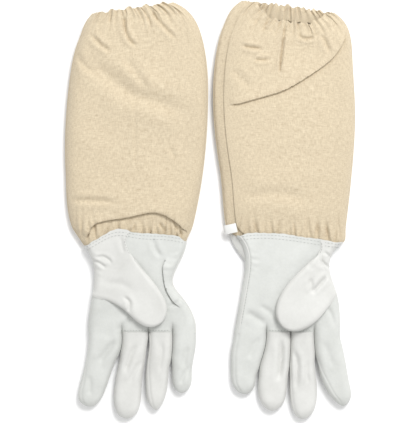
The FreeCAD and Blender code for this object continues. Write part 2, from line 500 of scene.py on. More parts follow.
def stitches(x, y, z, length, gap, radius):
    """A row of separate stitches along a line of points."""
    points = np.column_stack([x, y, z])
    total = np.linalg.norm(np.diff(points, axis=0), axis=1).sum()
    pitch = length + gap
    count = max(2, int(total / pitch))
    curve = guide(points)
    deselect()
    bpy.ops.mesh.primitive_uv_sphere_add(segments=8, ring_count=6, radius=1.0)
    stitch = bpy.context.object
    corners = np.array([v.co for v in stitch.data.vertices])[:, [2, 1, 0]]
    corners *= np.array([length / 2, radius, radius * 0.8]) * MM
    corners[:, 0] += pitch / 2 * MM
    stitch.data.vertices.foreach_set("co", corners.astype(np.float32).ravel())
    stitch.data.flip_normals()
    activate(stitch)
    row = stitch.modifiers.new("Row", "ARRAY")
    row.count = count
    row.use_relative_offset = False
    row.use_constant_offset = True
    row.constant_offset_displace = (pitch * MM, 0.0, 0.0)
    bend = stitch.modifiers.new("Bend", "CURVE")
    bend.object = curve
    bpy.ops.object.modifier_apply(modifier=row.name)
    bpy.ops.object.modifier_apply(modifier=bend.name)
    bpy.data.objects.remove(curve)
    return stitch


# ---------------------------------------------------------------- tubes that lie flat

class Stall:
    """A tube of leather lying flat: rows across it, each from a left to a right point."""

    def __init__(self, left, right, heights, rise, drop, seams, edge=EDGE):
        self.left, self.right = np.array(left, float), np.array(right, float)
        self.heights = [np.array(height, float) for height in heights]
        self.rise, self.drop = np.array(rise, float), np.array(drop, float)
        self.width = np.linalg.norm(self.right - self.left, axis=1)
        self.radius = np.minimum(edge, EDGE_SHARE * self.width)
        self.seams = [np.broadcast_to(np.asarray(seam, float), self.width.shape) for seam in seams]
        narrow = 10.0
        self.groove_fade = np.minimum(1.0, self.width[:, None] / narrow)

    def place(self, inset, lift):
        """Points at a distance from the left edge, and a share of the rise or drop."""
        width = np.maximum(self.width, 1e-6)[:, None]
        share = inset / width
        flat = self.left[:, None, :] + (self.right - self.left)[:, None, :] * share[..., None]
        base = mix(self.heights[0][:, None], self.heights[1][:, None], share)
        height = base + np.where(lift >= 0, self.rise[:, None], self.drop[:, None]) * lift
        return np.concatenate([flat, height[..., None]], axis=-1)

    def face(self, columns, upper=True, groove=GROOVE):
        """The front of the tube, or its back, between its two side seams."""
        seams = self.seams if upper else [np.full(self.width.shape, SEAM_TURN)] * 2
        insets = [self.radius * (1.0 - np.cos(seam)) for seam in seams]
        width = np.maximum(self.width, 1e-6)
        first, last = [np.arccos(np.clip(1.0 - 2.0 * inset / width, -1, 1)) for inset in insets]
        spread = mix(first[:, None], math.pi - last[:, None], np.linspace(0, 1, columns)[None, :])
        inset = self.width[:, None] / 2 * (1.0 - np.cos(spread))
        edge = np.minimum(inset, self.width[:, None] - inset)
        lift = quarter(edge / np.maximum(self.radius, 1e-6)[:, None])
        away = np.minimum(inset - insets[0][:, None], self.width[:, None] - insets[1][:, None] - inset)
        lift = lift - groove * np.exp(-(away / GROOVE_WIDTH) ** 2) * self.groove_fade
        return self.place(inset, lift if upper else -lift)

    def strip(self, which):
        """The side strip along the left or the right edge of the tube."""
        seam = self.seams[0 if which == "left" else 1][:, None]
        turn = mix(seam, -SEAM_TURN, np.linspace(0, 1, 11)[None, :])
        inset = self.radius[:, None] * (1.0 - np.cos(turn))
        if which == "right":
            inset = self.width[:, None] - inset
        near_seam = np.exp(-((seam - turn) / 0.12) ** 2)
        lift = np.sin(turn) - GROOVE * near_seam * self.groove_fade
        return self.place(inset, lift)


class Hand:
    """The measures of one glove's hand, from its panels."""

    def __init__(self, side):
        self.side = side
        self.order = FINGERS if side == "right" else FINGERS[::-1]
        edges = panel_edges(f"{side}_back_panel")
        corners = panel_corners(f"{side}_back_panel")
        upper = corners[corners[:, 1] > -60.0]
        self.left_corner = upper[np.argmin(upper[:, 0])][:2]
        self.right_corner = upper[np.argmax(upper[:, 0])][:2]
        lowest = corners[:, 1].min() + 0.02
        self.left_table = side_table(edges, lowest, self.left_corner[1] - 0.05, 0)
        self.right_table = side_table(edges, lowest, self.right_corner[1] - 0.05, 1)
        self.hem_table = side_table(edges, self.left_corner[0] + 0.1, self.right_corner[0] - 0.1, 1, axis=0)
        spans = [span_at(panel_edges(f"{side}_{name}_front"), KNUCKLE - 0.25) for name in self.order]
        webs = [(a[1] + b[0]) / 2 for a, b in zip(spans, spans[1:])]
        lows = [spans[0][0]] + [web + WEB_GAP for web in webs]
        highs = [web - WEB_GAP for web in webs] + [spans[-1][1]]
        self.spans = list(zip(lows, highs))
        self.seams = (SEAM_TURN, SEAM_TURN) if side == "right" else (WIDE_SEAM, SEAM_TURN)
        self.insets = [EDGE * (1.0 - math.cos(seam)) for seam in self.seams]

    def left(self, y):
        return np.interp(y, *self.left_table)

    def right(self, y):
        return np.interp(y, *self.right_table)

    def hem(self, x):
        return np.interp(x, *self.hem_table)

    def rows(self, shares):
        """Left and right points of the rows that go from the knuckles to the cuff."""
        left_y = mix(KNUCKLE, self.left_corner[1], shares)
        right_y = mix(KNUCKLE, self.right_corner[1], shares)
        left = np.stack([self.left(left_y), left_y], axis=-1)
        right = np.stack([self.right(right_y), right_y], axis=-1)
        return left, right

    def knuckle_profile(self, x):
        """How high the hand stands at the knuckles, where it parts into the fingers."""
        total = np.full(np.shape(x), 0.06)
        for low, high in self.spans:
            inside = (x >= low) & (x <= high)
            radius = min(EDGE, EDGE_SHARE * (high - low))
            edge = np.clip(np.minimum(x - low, high - x), 0, None)
            total = np.where(inside, np.maximum(total, quarter(edge / radius)), total)
        return total

    def grid(self, upper):
        """Points of the palm, or of the back, from the knuckles to the cuff."""
        shares = np.linspace(0, 1, HAND_ROWS)
        left, right = self.rows(shares)
        width = (right - left)[:, 0]
        stops = []
        for number, (low, high) in enumerate(self.spans):
            seams = seam_turns(self.side, self.order[number], 0.0) if upper else (SEAM_TURN, SEAM_TURN)
            first, last = [math.acos(1 - 2 * EDGE * (1 - math.cos(seam)) / (high - low)) for seam in seams]
            inner = np.linspace(first, math.pi - last, PER_FINGER)
            outer_left = [] if number == 0 else [0.0, first / 2]
            outer_right = [] if number == len(self.spans) - 1 else [math.pi - last / 2, math.pi]
            turns = np.concatenate([outer_left, inner, outer_right])
            stops.append(low + (high - low) / 2 * (1 - np.cos(turns)))
        stops = np.concatenate(stops)
        at_knuckle = (stops - left[0, 0]) / width[0]
        even = np.linspace(0, 1, len(stops))
        dense = even - 0.72 * np.sin(2 * math.pi * even) / (2 * math.pi)
        unit = (at_knuckle - at_knuckle[0]) / np.ptp(at_knuckle)
        share = np.empty((HAND_ROWS, len(stops)))
        insets = self.insets if upper else [EDGE * (1.0 - math.cos(SEAM_TURN))] * 2
        for row, (step, span) in enumerate(zip(shares, width)):
            first, last = insets[0] / span, insets[1] / span
            at_cuff = mix(first, 1 - last, dense)
            ends = at_knuckle if row == 0 else mix(first, 1 - last, unit)
            share[row] = mix(ends, at_cuff, smooth(step / 0.4))
        x = mix(left[:, :1], right[:, :1], share)
        y = mix(left[:, 1:], right[:, 1:], share)
        chord = mix(self.left_corner[1], self.right_corner[1], share)
        from_side = np.minimum(share, 1 - share) * width[:, None]
        pull = smooth((shares[:, None] - 0.5) / 0.5) * (self.hem(x) - chord)
        y = y + pull * smooth((from_side - 1.5) / 9.0)
        y = y + self.scallop(x) * smooth((shares[:, None] - 0.9) / 0.1)
        if not upper:
            return np.stack([x, y, self.bottom(x, y)], axis=-1)
        points = np.stack([x, y, self.top(x, y)], axis=-1)
        inner = smooth(self.edge_gap(x, y) / 7.0) * smooth((y - KNUCKLE) / 6.0)
        return shifted(points, PALM_FOLDS[self.side], self.spot, inner * LEATHER_FOLDS)

    def spot(self, a, b):
        """A place on the palm from shares of the knuckles' width and of 100 mm of its length."""
        return mix(self.spans[0][0], self.spans[-1][1], a), KNUCKLE + 100.0 * b

    def scallop(self, x):
        """The slightly uneven edge of the cuff."""
        ends = smooth((x - self.left_corner[0]) / 8.0) * smooth((self.right_corner[0] - x) / 8.0)
        return ends * (0.25 * np.sin(x / 1.7 + 0.8 * np.sin(x / 9.0)) + 0.35 * np.sin(x / 6.3))

    def edge_gap(self, x, y):
        return np.clip(np.minimum(x - self.left(y), self.right(y) - x), 0, None)

    def top(self, x, y, plain=False):
        """Height of the palm's outer face."""
        gap = self.edge_gap(x, y)
        lift = quarter(gap / EDGE)
        away = np.minimum(x - self.left(y) - self.insets[0], self.right(y) - x - self.insets[1])
        lift = lift - GROOVE * np.exp(-(away / GROOVE_WIDTH) ** 2)
        up = smooth((y - KNUCKLE) / 15.0)
        rise = mix(FINGER_RISE, PALM_RISE, smooth((y - KNUCKLE) / 40.0))
        lumps = self.knuckle_profile(x)
        height = MIDDLE + mix(FINGER_RISE * lumps, rise * lift, up)
        if not plain:
            height = height + self.unevenness(x, y) * smooth(gap / 8.0)
        return height

    def unevenness(self, x, y):
        """Creases and soft waves of the palm."""
        low, high = self.spans[0][0], self.spans[-1][1]
        across = (x - low) / (high - low)
        along = (y - KNUCKLE) / 100.0
        fade = smooth((y - KNUCKLE) / 10.0)
        total = 0.45 * ripple(seed_of("palm", self.side), across, along, 7, 0.4, 1.6) * fade
        total += 0.16 * ripple(seed_of("palm_fine", self.side), across, along, 9, 2.0, 4.5) * fade
        hollow = self.spot(*PALM_HOLLOW[self.side])
        total -= 1.1 * np.exp(-np.hypot(x - hollow[0], y - hollow[1]) ** 2 / 13.0 ** 2)
        total += self.puckers(x, y)
        base_seam = np.exp(-((y - KNUCKLE) / 1.8) ** 2) * self.over_separate_fronts(x)
        return total - 1.3 * base_seam

    def over_separate_fronts(self, x):
        """1 above the middle and ring fingers, whose fronts are sewn on, else 0."""
        (low, _), (_, high) = self.spans[1:3]
        return smooth((x - low) / 3.0) * smooth((high - x) / 3.0)

    def puckers(self, x, y):
        """Small pleats of the wrist's elastic near the two sides."""
        rows = np.exp(-((y - WRIST) / 13.0) ** 2)
        gap = self.edge_gap(x, y)
        sides = np.exp(-((gap - 9.0) / 8.0) ** 2)
        waves = np.sin(y / 1.45 + 0.7 * np.sin(x / 4.0)) * np.sin(x / 7.0 + y / 9.0)
        return 0.55 * rows * sides * waves

    def bottom(self, x, y):
        """Height of the back's outer face, which lies on the table."""
        gap = self.edge_gap(x, y)
        up = smooth((y - KNUCKLE) / 15.0)
        return MIDDLE - MIDDLE * mix(self.knuckle_profile(x), quarter(gap / EDGE), up)


# Folds of the palms: kind, places as shares of the knuckles' width and of 100 mm of length, then sizes
PALM_FOLDS = {
    "right": [
        (fold, [(0.72, 0.90), (0.71, 0.72), (0.745, 0.50), (0.86, 0.28)], 2.2, 8.0, 0.9, 1.3, 0.2),
        (crease, [(0.60, 1.12), (0.62, 1.00), (0.68, 0.88)], 1.0, 2.4),
        (crease, [(0.40, 0.30), (0.55, 0.22), (0.78, 0.30)], 0.7, 3.0),
        (crease, [(0.28, 0.02), (0.38, 0.16), (0.43, 0.28)], 1.0, 3.0),
        (crease, [(0.72, 0.30), (0.82, 0.36), (0.90, 0.47)], 0.8, 2.2),
        (crease, [(0.03, 0.86), (0.12, 0.80), (0.26, 0.78)], 0.8, 1.6),
    ],
    "left": [
        (crease, [(0.10, 0.26), (0.18, 0.20), (0.30, 0.10)], 1.1, 3.5),
        (crease, [(0.22, 0.34), (0.36, 0.22), (0.44, 0.10)], 0.8, 3.0),
        (crease, [(0.60, 0.03), (0.68, 0.12), (0.74, 0.22)], 0.6, 2.0),
        (crease, [(0.86, 0.34), (0.92, 0.20), (0.95, 0.06)], 0.7, 2.4),
    ],
}
PALM_HOLLOW = {"right": (0.78, 0.62), "left": (0.22, 0.16)}

# Folds of the thumb wings and thumbs: shares of the palm as above
WING_FOLDS = {
    "right": [
        (crease, [(0.02, 0.84), (0.09, 0.83), (0.17, 0.76)], 1.0, 1.6),
        (crease, [(0.06, 0.88), (0.13, 0.90), (0.19, 0.86), (0.22, 0.80)], 0.9, 1.6),
        (crease, [(0.30, 1.14), (0.315, 1.02), (0.33, 0.93)], 0.7, 2.2),
        (crease, [(0.33, 0.44), (0.385, 0.36), (0.375, 0.24)], 1.3, 2.0),
        (crease, [(0.12, 0.60), (0.30, 0.58), (0.44, 0.50)], 0.5, 3.5),
    ],
    "left": [
        (crease, [(0.80, 0.88), (0.86, 0.80), (0.94, 0.76)], 1.2, 1.8),
        (crease, [(0.72, 0.46), (0.78, 0.55), (0.88, 0.68)], 1.8, 2.2),
        (crease, [(0.71, 0.66), (0.72, 0.57), (0.73, 0.47)], 1.3, 2.6),
        (crease, [(0.84, 0.96), (0.90, 0.90), (0.97, 0.88)], 1.0, 1.6),
        (crease, [(0.66, 0.90), (0.70, 0.80), (0.76, 0.74)], 0.7, 2.4),
    ],
}

# How far the wing's seam swings to +X, from the cuff to its lower end
SEAM_BENDS = {"right": (5.0, -4.0, -3.0, 0.0), "left": (-6.0, -1.0, 1.0, 0.0)}

# Where the wing's inner edge starts to stand off the palm, on its way from the cuff (0) to the thumb (1)
FREE_FROM = {"right": 0.66, "left": 0.25}

# Folds of the finger fronts: kind, places as shares of the finger's width and length, then sizes
FINGER_FOLDS = {
    "right_index": [(crease, [(0.90, 0.08), (0.66, 0.20), (0.40, 0.42)], 1.4, 3.2),
                    (crease, [(0.15, 0.55), (0.30, 0.70), (0.36, 0.85)], 0.7, 2.6)],
    "right_middle": [(crease, [(0.62, 0.12), (0.42, 0.26), (0.30, 0.48)], 1.2, 2.8),
                     (crease, [(0.95, 0.30), (0.72, 0.42), (0.52, 0.60)], 0.9, 2.4)],
    "right_ring": [(crease, [(0.50, 0.08), (0.56, 0.30), (0.52, 0.52)], 0.8, 3.0)],
    "right_little": [(crease, [(0.70, 0.20), (0.62, 0.42), (0.66, 0.62)], 0.8, 3.2),
                     (crease, [(0.90, 0.52), (0.60, 0.70), (0.40, 0.86)], 0.7, 2.4)],
    "left_index": [(crease, [(0.30, 0.10), (0.44, 0.28), (0.50, 0.48)], 0.5, 3.4)],
    "left_middle": [(crease, [(0.02, 0.16), (0.24, 0.32), (0.22, 0.50), (0.10, 0.68)], 1.7, 2.8),
                    (crease, [(0.72, 0.30), (0.66, 0.46), (0.70, 0.60)], 0.7, 2.6)],
    "left_ring": [(crease, [(0.58, 0.06), (0.66, 0.24), (0.72, 0.46), (0.66, 0.64)], 1.9, 3.2)],
    "left_little": [(crease, [(0.80, 0.05), (0.60, 0.24), (0.52, 0.44)], 0.7, 3.6)],
}

# Where neighbouring fingers part, from the left one to the right one
PARTINGS = {"right": (-171.0, -153.0, -180.0), "left": (-190.0, -190.0, -174.0)}

# Side strips that show from the front: the turn of the seam at the knuckle and at the tip, in degrees
SHOWN_STRIPS = {
    ("right", "ring", 0): (40.0, 66.0),
    ("right", "index", 0): (24.8, 60.0),
    ("left", "index", 0): (24.8, 76.0),
    ("left", "little", 0): (62.0, 62.0),
    ("left", "middle", 0): (24.8, 45.0),
}


def seam_turns(side, name, share):
    """How far round the finger its two seams lie, at shares of its length."""
    turns = []
    for which in (0, 1):
        start, end = SHOWN_STRIPS.get((side, name, which), (math.degrees(SEAM_TURN),) * 2)
        turns.append(np.radians(mix(start, end, smooth((share - 0.25) / 0.5))))
    return turns


def finger_rails(side, name, rows):
    """The left and the right edge of a finger's outline at some rows."""
    edges = panel_edges(f"{side}_{name}_front")
    low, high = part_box(f"{side}_{name}_front")
    tables = [side_table(edges, low.y / MM + 0.02, high.y / MM - 0.05, which) for which in (0, 1)]
    return [np.interp(rows, *table) for table in tables]


def finger_stall(hand, name):
    """The tube of one finger, from the knuckle to its tip, beside its neighbours until they part."""
    side = hand.side
    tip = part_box(f"{side}_{name}_front")[0].y / MM
    rows = KNUCKLE + (tip + 0.02 - KNUCKLE) * np.sin(np.linspace(0, math.pi / 2, FINGER_ROWS))
    rails = finger_rails(side, name, rows)
    number = hand.order.index(name)
    start = smooth((KNUCKLE - rows) / WEB_OPENING)
    for which, step in ((0, -1), (1, 1)):
        at_knuckle = hand.spans[number][which]
        web, opened = np.full(FINGER_ROWS, at_knuckle), start
        if 0 <= number + step < len(FINGERS):
            neighbour = finger_rails(side, hand.order[number + step], rows)[1 - which]
            web = (rails[which] + neighbour) / 2 - step * WEB_GAP
            parting = PARTINGS[side][min(number, number + step)]
            opened = smooth((parting + WEB_OPENING / 2 - rows) / WEB_OPENING)
        rail = mix(web, rails[which], opened)
        rails[which] = rail + (at_knuckle - rail[0]) * (1 - start)
    left, right = rails
    left[-1] = right[-1] = (left[-1] + right[-1]) / 2
    share = (KNUCKLE - rows) / (KNUCKLE - tip)
    middle = mix(MIDDLE, MIDDLE - 1.5, smooth(share))
    closing = quarter((rows - tip) / 13.0)
    closing[-1] = 0.0
    left, right = np.stack([left, rows], -1), np.stack([right, rows], -1)
    return Stall(left, right, (middle, middle), FINGER_RISE * closing, middle * closing,
                 seam_turns(side, name, share))


def finger_front(side, name, stall):
    """The front of a finger with its soft waves and its creases."""
    points = stall.face(PER_FINGER)
    seed = FINGER_SEED + 10 * SIDES.index(side) + FINGERS.index(name)
    x, y = points[..., 0], points[..., 1]
    tip = y.min()
    share = (KNUCKLE - y) / (KNUCKLE - tip)
    across = np.sin(np.linspace(0, math.pi, points.shape[1]))[None, :] ** 0.6
    strength = smooth(share / 0.08) * smooth((1 - share) / 0.16) * across
    points[..., 2] += 0.45 * ripple(seed, x / 30.0, y / 45.0, 7, 0.5, 1.8) * strength

    def spot(a, b):
        place_y = mix(KNUCKLE, tip, b)
        row = int(np.argmin(np.abs(y[:, 0] - place_y)))
        return mix(x[row, 0], x[row, -1], a), place_y

    return shifted(points, FINGER_FOLDS[f"{side}_{name}"], spot, strength * 1.4 * LEATHER_FOLDS)


class Thumb:
    """The wing and the thumb, in rows from 0 at the cuff over 1 at the thumb's base to 2 at its tip."""

    WING_ROWS = WING_SEAM_END + 1
    THUMB_ROWS = 84

    def __init__(self, hand):
        self.hand = hand
        side = hand.side
        wing = panel_corners(f"{side}_thumb_wing")
        line = split_at_longest(outline_loop(f"{side}_thumb_back"))
        thumb_on_left = side == "right"
        outer_sign = -1 if thumb_on_left else 1
        if (line[0][0] - line[-1][0]) * outer_sign < 0:
            line = line[::-1]
        base_middle = (line[0] + line[-1]) / 2
        tip = int(np.argmax(np.hypot(*(line - base_middle).T)))
        seam_end = wing[np.argmin(wing[:, 0] * outer_sign)][:2]
        self.base = base_middle
        along = (line[-1] - line[0]) / np.hypot(*(line[-1] - line[0]))
        self.inward = np.array([along[1], -along[0]])
        if self.inward @ (line[tip] - base_middle) < 0:
            self.inward = -self.inward
        corner = hand.left_corner if thumb_on_left else hand.right_corner
        side_of = hand.left if thumb_on_left else hand.right
        outer_y = np.linspace(corner[1], wing[:, 1].min() + 1.0, 30)
        outer = np.stack([side_of(outer_y), outer_y], -1)
        edges = panel_edges(f"{side}_thumb_wing")
        seam_y = np.linspace(wing[:, 1].max(), seam_end[1] + 0.1, 60)
        which = 1 if thumb_on_left else 0
        seam_x = np.array([span_at(edges, y)[which] for y in seam_y])
        below_hem = np.isfinite(seam_x) & (seam_y < hand.hem(np.nan_to_num(seam_x)) - 1.5)
        seam_x, seam_y = seam_x[below_hem], seam_y[below_hem]
        slope = (seam_x[0] - seam_x[9]) / (seam_y[0] - seam_y[9])
        top_y = seam_y[0]
        for _ in range(5):
            top_y = float(hand.hem(seam_x[0] + slope * (top_y - seam_y[0])))
        top = np.array([seam_x[0] + slope * (top_y - seam_y[0]), top_y])
        seam = np.vstack([top, np.stack([seam_x, seam_y], -1)])
        down = (seam[0, 1] - seam[:, 1]) / (seam[0, 1] - seam[-1, 1])
        seam[:, 0] += np.interp(down, (0.0, 0.4, 0.75, 1.0), SEAM_BENDS[side])
        seam[0, 1] = float(hand.hem(seam[0, 0]))
        wing_shares = np.linspace(0, 1, self.WING_ROWS)
        thumb_shares = np.sin(np.linspace(0, math.pi / 2, self.THUMB_ROWS))
        outer_rail = [resample(outer, wing_shares), resample(line[:tip + 1], thumb_shares)]
        inner_rail = [resample(seam, wing_shares), resample(line[tip:][::-1], thumb_shares)]
        self.outer = rounded(np.vstack([outer_rail[0], outer_rail[1][2:]]), 3)
        self.inner = rounded(np.vstack([inner_rail[0], inner_rail[1][2:]]), 8)
        self.place = np.concatenate([wing_shares, 1 + np.linspace(0, 1, self.THUMB_ROWS)[2:]])
        self.tip = line[tip]
        self.outer[-1] = self.inner[-1] = line[tip]
        self.flip = not thumb_on_left
        self.seam_top = top

    def stall(self):
        """The whole wing and thumb as a tube, its edges rising from the hand to the thumb."""
        outer, inner = self.outer, self.inner
        hand, place = self.hand, self.place
        reach = np.hypot(*(outer - self.tip).T)
        reach_inner = np.hypot(*(inner - self.tip).T)
        tip_round = quarter(np.minimum(reach, reach_inner) / 15.0)
        tip_round[-1] = 0.0
        inner_palm = hand.top(inner[:, 0], inner[:, 1], plain=True) + WING_LAP
        outer_height = mix(MIDDLE, THUMB_MIDDLE, smooth((place - 0.72) / 0.6))
        inner_height = mix(inner_palm, THUMB_MIDDLE, smooth((place - FREE_FROM[hand.side] - 0.08) / 0.5))
        rise = mix(0.2, THUMB_RISE, smooth((place - 0.55) / 0.7)) * tip_round
        drop = mix(0.2, THUMB_DROP, smooth((place - 1.0) / 0.35)) * tip_round
        hidden = np.full(place.shape, SEAM_TURN)
        shown = mix(SEAM_TURN, math.radians(58.0), smooth((place - 1.25) / 0.4))
        if self.flip:
            heights = (inner_height, outer_height)
            return Stall(inner, outer, heights, rise, drop, (hidden, hidden), THUMB_EDGE)
        heights = (outer_height, inner_height)
        return Stall(outer, inner, heights, rise, drop, (shown, hidden), THUMB_EDGE)

    def sheet(self):
        """Points of the white leather over the wing and the thumb."""
        stall = self.stall()
        hand = self.hand
        points = stall.face(72, groove=THUMB_GROOVE)
        place = self.place[:, None]
        share = np.linspace(0, 1, points.shape[1])[None, :]
        inward = share if not self.flip else 1 - share
        x, y = points[..., 0], points[..., 1]
        chord = mix(self.outer[0][1], self.inner[0][1], inward)
        hem_pull = smooth((0.35 - place) / 0.35) * smooth((inward - 0.03) / 0.15)
        y = y + hem_pull * (hand.hem(x) - chord) + hand.scallop(x) * smooth((0.12 - place) / 0.12)
        dome = hand.top(x, y, plain=True)
        over_palm = dome + WING_LAP
        start = mix(0.5, FREE_FROM[hand.side], inward)
        lift = smooth((place - start) / 0.55)
        wing_height = mix(dome, over_palm, smooth(inward / 0.3))
        z = mix(wing_height, points[..., 2], lift)
        z = np.maximum(z, dome + WING_LAP * mix(0.5, 1.0, smooth(inward / 0.3)))
        inner = smooth(inward / 0.12) * smooth((1 - inward) / 0.08) * smooth((2.0 - place) / 0.3)
        waves = 0.45 * ripple(seed_of("wing", hand.side), x / 80.0, y / 80.0, 8, 0.5, 1.8)
        z = z + (waves + hand.puckers(x, y)) * inner
        return shifted(np.stack([x, y, z], -1), WING_FOLDS[hand.side], hand.spot, inner * LEATHER_FOLDS)

    def covers(self, x, y):
        """Whether places lie under the wing, well inside its edges."""
        margin = 5.0
        rows = self.place < 1.02
        ring = np.vstack([self.outer[rows], self.inner[rows][::-1]])
        inside = np.zeros(np.shape(x), bool)
        for (ax, ay), (bx, by) in zip(ring, np.roll(ring, -1, axis=0)):
            crosses = (ay > y) != (by > y)
            with np.errstate(divide="ignore", invalid="ignore"):
                inside ^= crosses & (x < (bx - ax) * (y - ay) / (by - ay) + ax)
        seam = self.inner[rows]
        near = np.min([np.hypot(x - px, y - py) for px, py in seam], axis=0) < margin
        bottom_a, bottom_b = self.outer[rows][-1], self.inner[rows][-1]
        along = bottom_b - bottom_a
        gap = np.abs(along[0] * (y - bottom_a[1]) - along[1] * (x - bottom_a[0])) / np.hypot(*along)
        return inside & ~near & (gap > margin)

    def beyond(self, value):
        """The rows from a place on, as a tube of their own."""
        stall = self.stall()
        keep = self.place >= value
        heights = [height[keep] for height in stall.heights]
        seams = [seam[keep] for seam in stall.seams]
        return Stall(stall.left[keep], stall.right[keep], heights, stall.rise[keep], stall.drop[keep],
                     seams, THUMB_EDGE)


# ---------------------------------------------------------------- materials

def new_material(name, colour=(0.8, 0.8, 0.8), roughness=0.5):
    material = bpy.data.materials.new(name)
    material.use_nodes = True
    tree = material.node_tree
    shader = next(n for n in tree.nodes if n.type == "BSDF_PRINCIPLED")
    shader.inputs["Base Color"].default_value = (*colour, 1.0)
    shader.inputs["Roughness"].default_value = roughness
    return tree, shader


def feed(tree, socket, value):
    """Links an input to an output, or sets its value."""
    if isinstance(value, bpy.types.NodeSocket):
        tree.links.new(value, socket)
    else:
        socket.default_value = value


def node(tree, kind, *feeds, **values):
    """A node whose inputs are fed by order and by name, with an underscore for a space."""
    made = tree.nodes.new(kind)
    for key, value in values.items():
        label = key.replace("_", " ")
        if label in made.inputs:
            feed(tree, made.inputs[label], value)
        else:
            setattr(made, key, value)
    for number, value in enumerate(feeds):
        feed(tree, made.inputs[number], value)
    return made


def sums(tree, operation, *feeds):
    """The result of one sum with numbers."""
    return node(tree, "ShaderNodeMath", *feeds, operation=operation).outputs[0]


def vector_sums(tree, operation, *feeds):
    """The result of one sum with vectors."""
    return node(tree, "ShaderNodeVectorMath", *feeds, operation=operation).outputs[0]


def noise(tree, place, scale, detail, roughness=0.5):
    """The value of a noise texture."""
    return node(tree, "ShaderNodeTexNoise", Vector=place, Scale=scale, Detail=detail,
                Roughness=roughness).outputs["Fac"]


def stretched(tree, value, low, high):
    """A value spread from low and high to 0 and 1."""
    return node(tree, "ShaderNodeMapRange", Value=value, From_Min=low, From_Max=high).outputs[0]


def mixed(tree, share, dark, light):
    """A colour between two others."""
    blend = node(tree, "ShaderNodeMix", data_type="RGBA")
    for number, value in ((0, share), (6, dark), (7, light)):
        feed(tree, blend.inputs[number], value)
    return blend.outputs[2]


def new_group(name, inputs, outputs):
    """A node group with a place and some numbers as inputs, and with numbers as outputs."""
    group = bpy.data.node_groups.new(name, "ShaderNodeTree")
    group.interface.new_socket(name="Vector", in_out="INPUT", socket_type="NodeSocketVector")
    for label, default in inputs.items():
        socket = group.interface.new_socket(name=label, in_out="INPUT", socket_type="NodeSocketFloat")
        socket.default_value = default
    for label in outputs:
        group.interface.new_socket(name=label, in_out="OUTPUT", socket_type="NodeSocketFloat")
    return group, group.nodes.new("NodeGroupInput").outputs, group.nodes.new("NodeGroupOutput").inputs


def leather_grain_group():
    """Patches of tone and a fine pebbled grain, as a tint mask and a height."""
    tree, entry, leave = new_group("Leather grain", {"Patch Scale": 28.0, "Grain Scale": 900.0},
                                   ("Mask", "Height"))
    place, scale = entry["Vector"], entry["Grain Scale"]
    patches = noise(tree, place, entry["Patch Scale"], 5.0, 0.6)
    pores = node(tree, "ShaderNodeTexVoronoi", Vector=place, Scale=scale).outputs["Distance"]
    fine = noise(tree, place, sums(tree, "MULTIPLY", scale, 0.35), 4.0, 0.65)
    tint = sums(tree, "MULTIPLY_ADD", fine, 0.35, patches)
    feed(tree, leave["Mask"], stretched(tree, tint, 0.42, 0.92))
    feed(tree, leave["Height"], sums(tree, "MULTIPLY_ADD", pores, 0.5, fine))
    return tree


def plain_weave_group():
    """Crossing threads with slubs, as a tone mask, a fleck mask and a height."""
    tree, entry, leave = new_group("Plain weave", {"Pitch": 0.0008}, ("Tone", "Flecks", "Height"))
    place = entry["Vector"]
    turns = sums(tree, "DIVIDE", 2 * math.pi, entry["Pitch"])
    wander = node(tree, "ShaderNodeTexNoise", Vector=place, Scale=120.0, Detail=2.0).outputs["Color"]
    drift = node(tree, "ShaderNodeVectorMath", wander, operation="SCALE", Scale=0.0012).outputs[0]
    apart = node(tree, "ShaderNodeSeparateXYZ", vector_sums(tree, "ADD", place, drift))
    waves = [sums(tree, "SINE", sums(tree, "MULTIPLY", apart.outputs[axis], turns)) for axis in "XY"]
    slubs = []
    for stretch in ((1.0, 0.12, 1.0), (0.12, 1.0, 1.0)):
        slubs.append(noise(tree, vector_sums(tree, "MULTIPLY", place, stretch), 1300.0, 3.0, 0.6))
    both = sums(tree, "ADD", *slubs)
    tone = sums(tree, "ADD", both, noise(tree, place, 260.0, 5.0, 0.7))
    cross = sums(tree, "MULTIPLY", *waves)
    feed(tree, leave["Tone"], stretched(tree, tone, 1.15, 1.85))
    feed(tree, leave["Flecks"], stretched(tree, noise(tree, place, 620.0, 1.0), 0.64, 0.74))
    feed(tree, leave["Height"], sums(tree, "MULTIPLY_ADD", cross, 0.5, both))
    return tree


def finish_material(tree, shader, colour, height, strength, relief, specular, sheen):
    """Gives a shader its colour, its relief and its shine."""
    feed(tree, shader.inputs["Base Color"], colour)
    bump = node(tree, "ShaderNodeBump", Strength=strength, Distance=relief, Height=height)
    feed(tree, shader.inputs["Normal"], bump.outputs["Normal"])
    shader.inputs["Specular IOR Level"].default_value = specular
    shader.inputs["Sheen Weight"].default_value = sheen


def leather_material(name, light, dark, roughness, group, relief):
    tree, shader = new_material(name, roughness=roughness)
    place = node(tree, "ShaderNodeTexCoord").outputs["Object"]
    grain = node(tree, "ShaderNodeGroup", node_tree=group)
    feed(tree, grain.inputs["Vector"], place)
    colour = mixed(tree, grain.outputs["Mask"], (*dark, 1.0), (*light, 1.0))
    finish_material(tree, shader, colour, grain.outputs["Height"], 0.35, relief, 0.25, 0.15)


def canvas_material(name, light, dark, group):
    tree, shader = new_material(name, roughness=0.92)
    place = node(tree, "ShaderNodeUVMap").outputs["UV"]
    weave = node(tree, "ShaderNodeGroup", node_tree=group)
    feed(tree, weave.inputs["Vector"], place)
    cloth = mixed(tree, weave.outputs["Tone"], (*dark, 1.0), (*light, 1.0))
    fleck = (*[0.72 * value for value in dark], 1.0)
    colour = mixed(tree, sums(tree, "MULTIPLY", weave.outputs["Flecks"], 0.45), cloth, fleck)
    finish_material(tree, shader, colour, weave.outputs["Height"], 0.5, 0.0003, 0.15, 0.2)


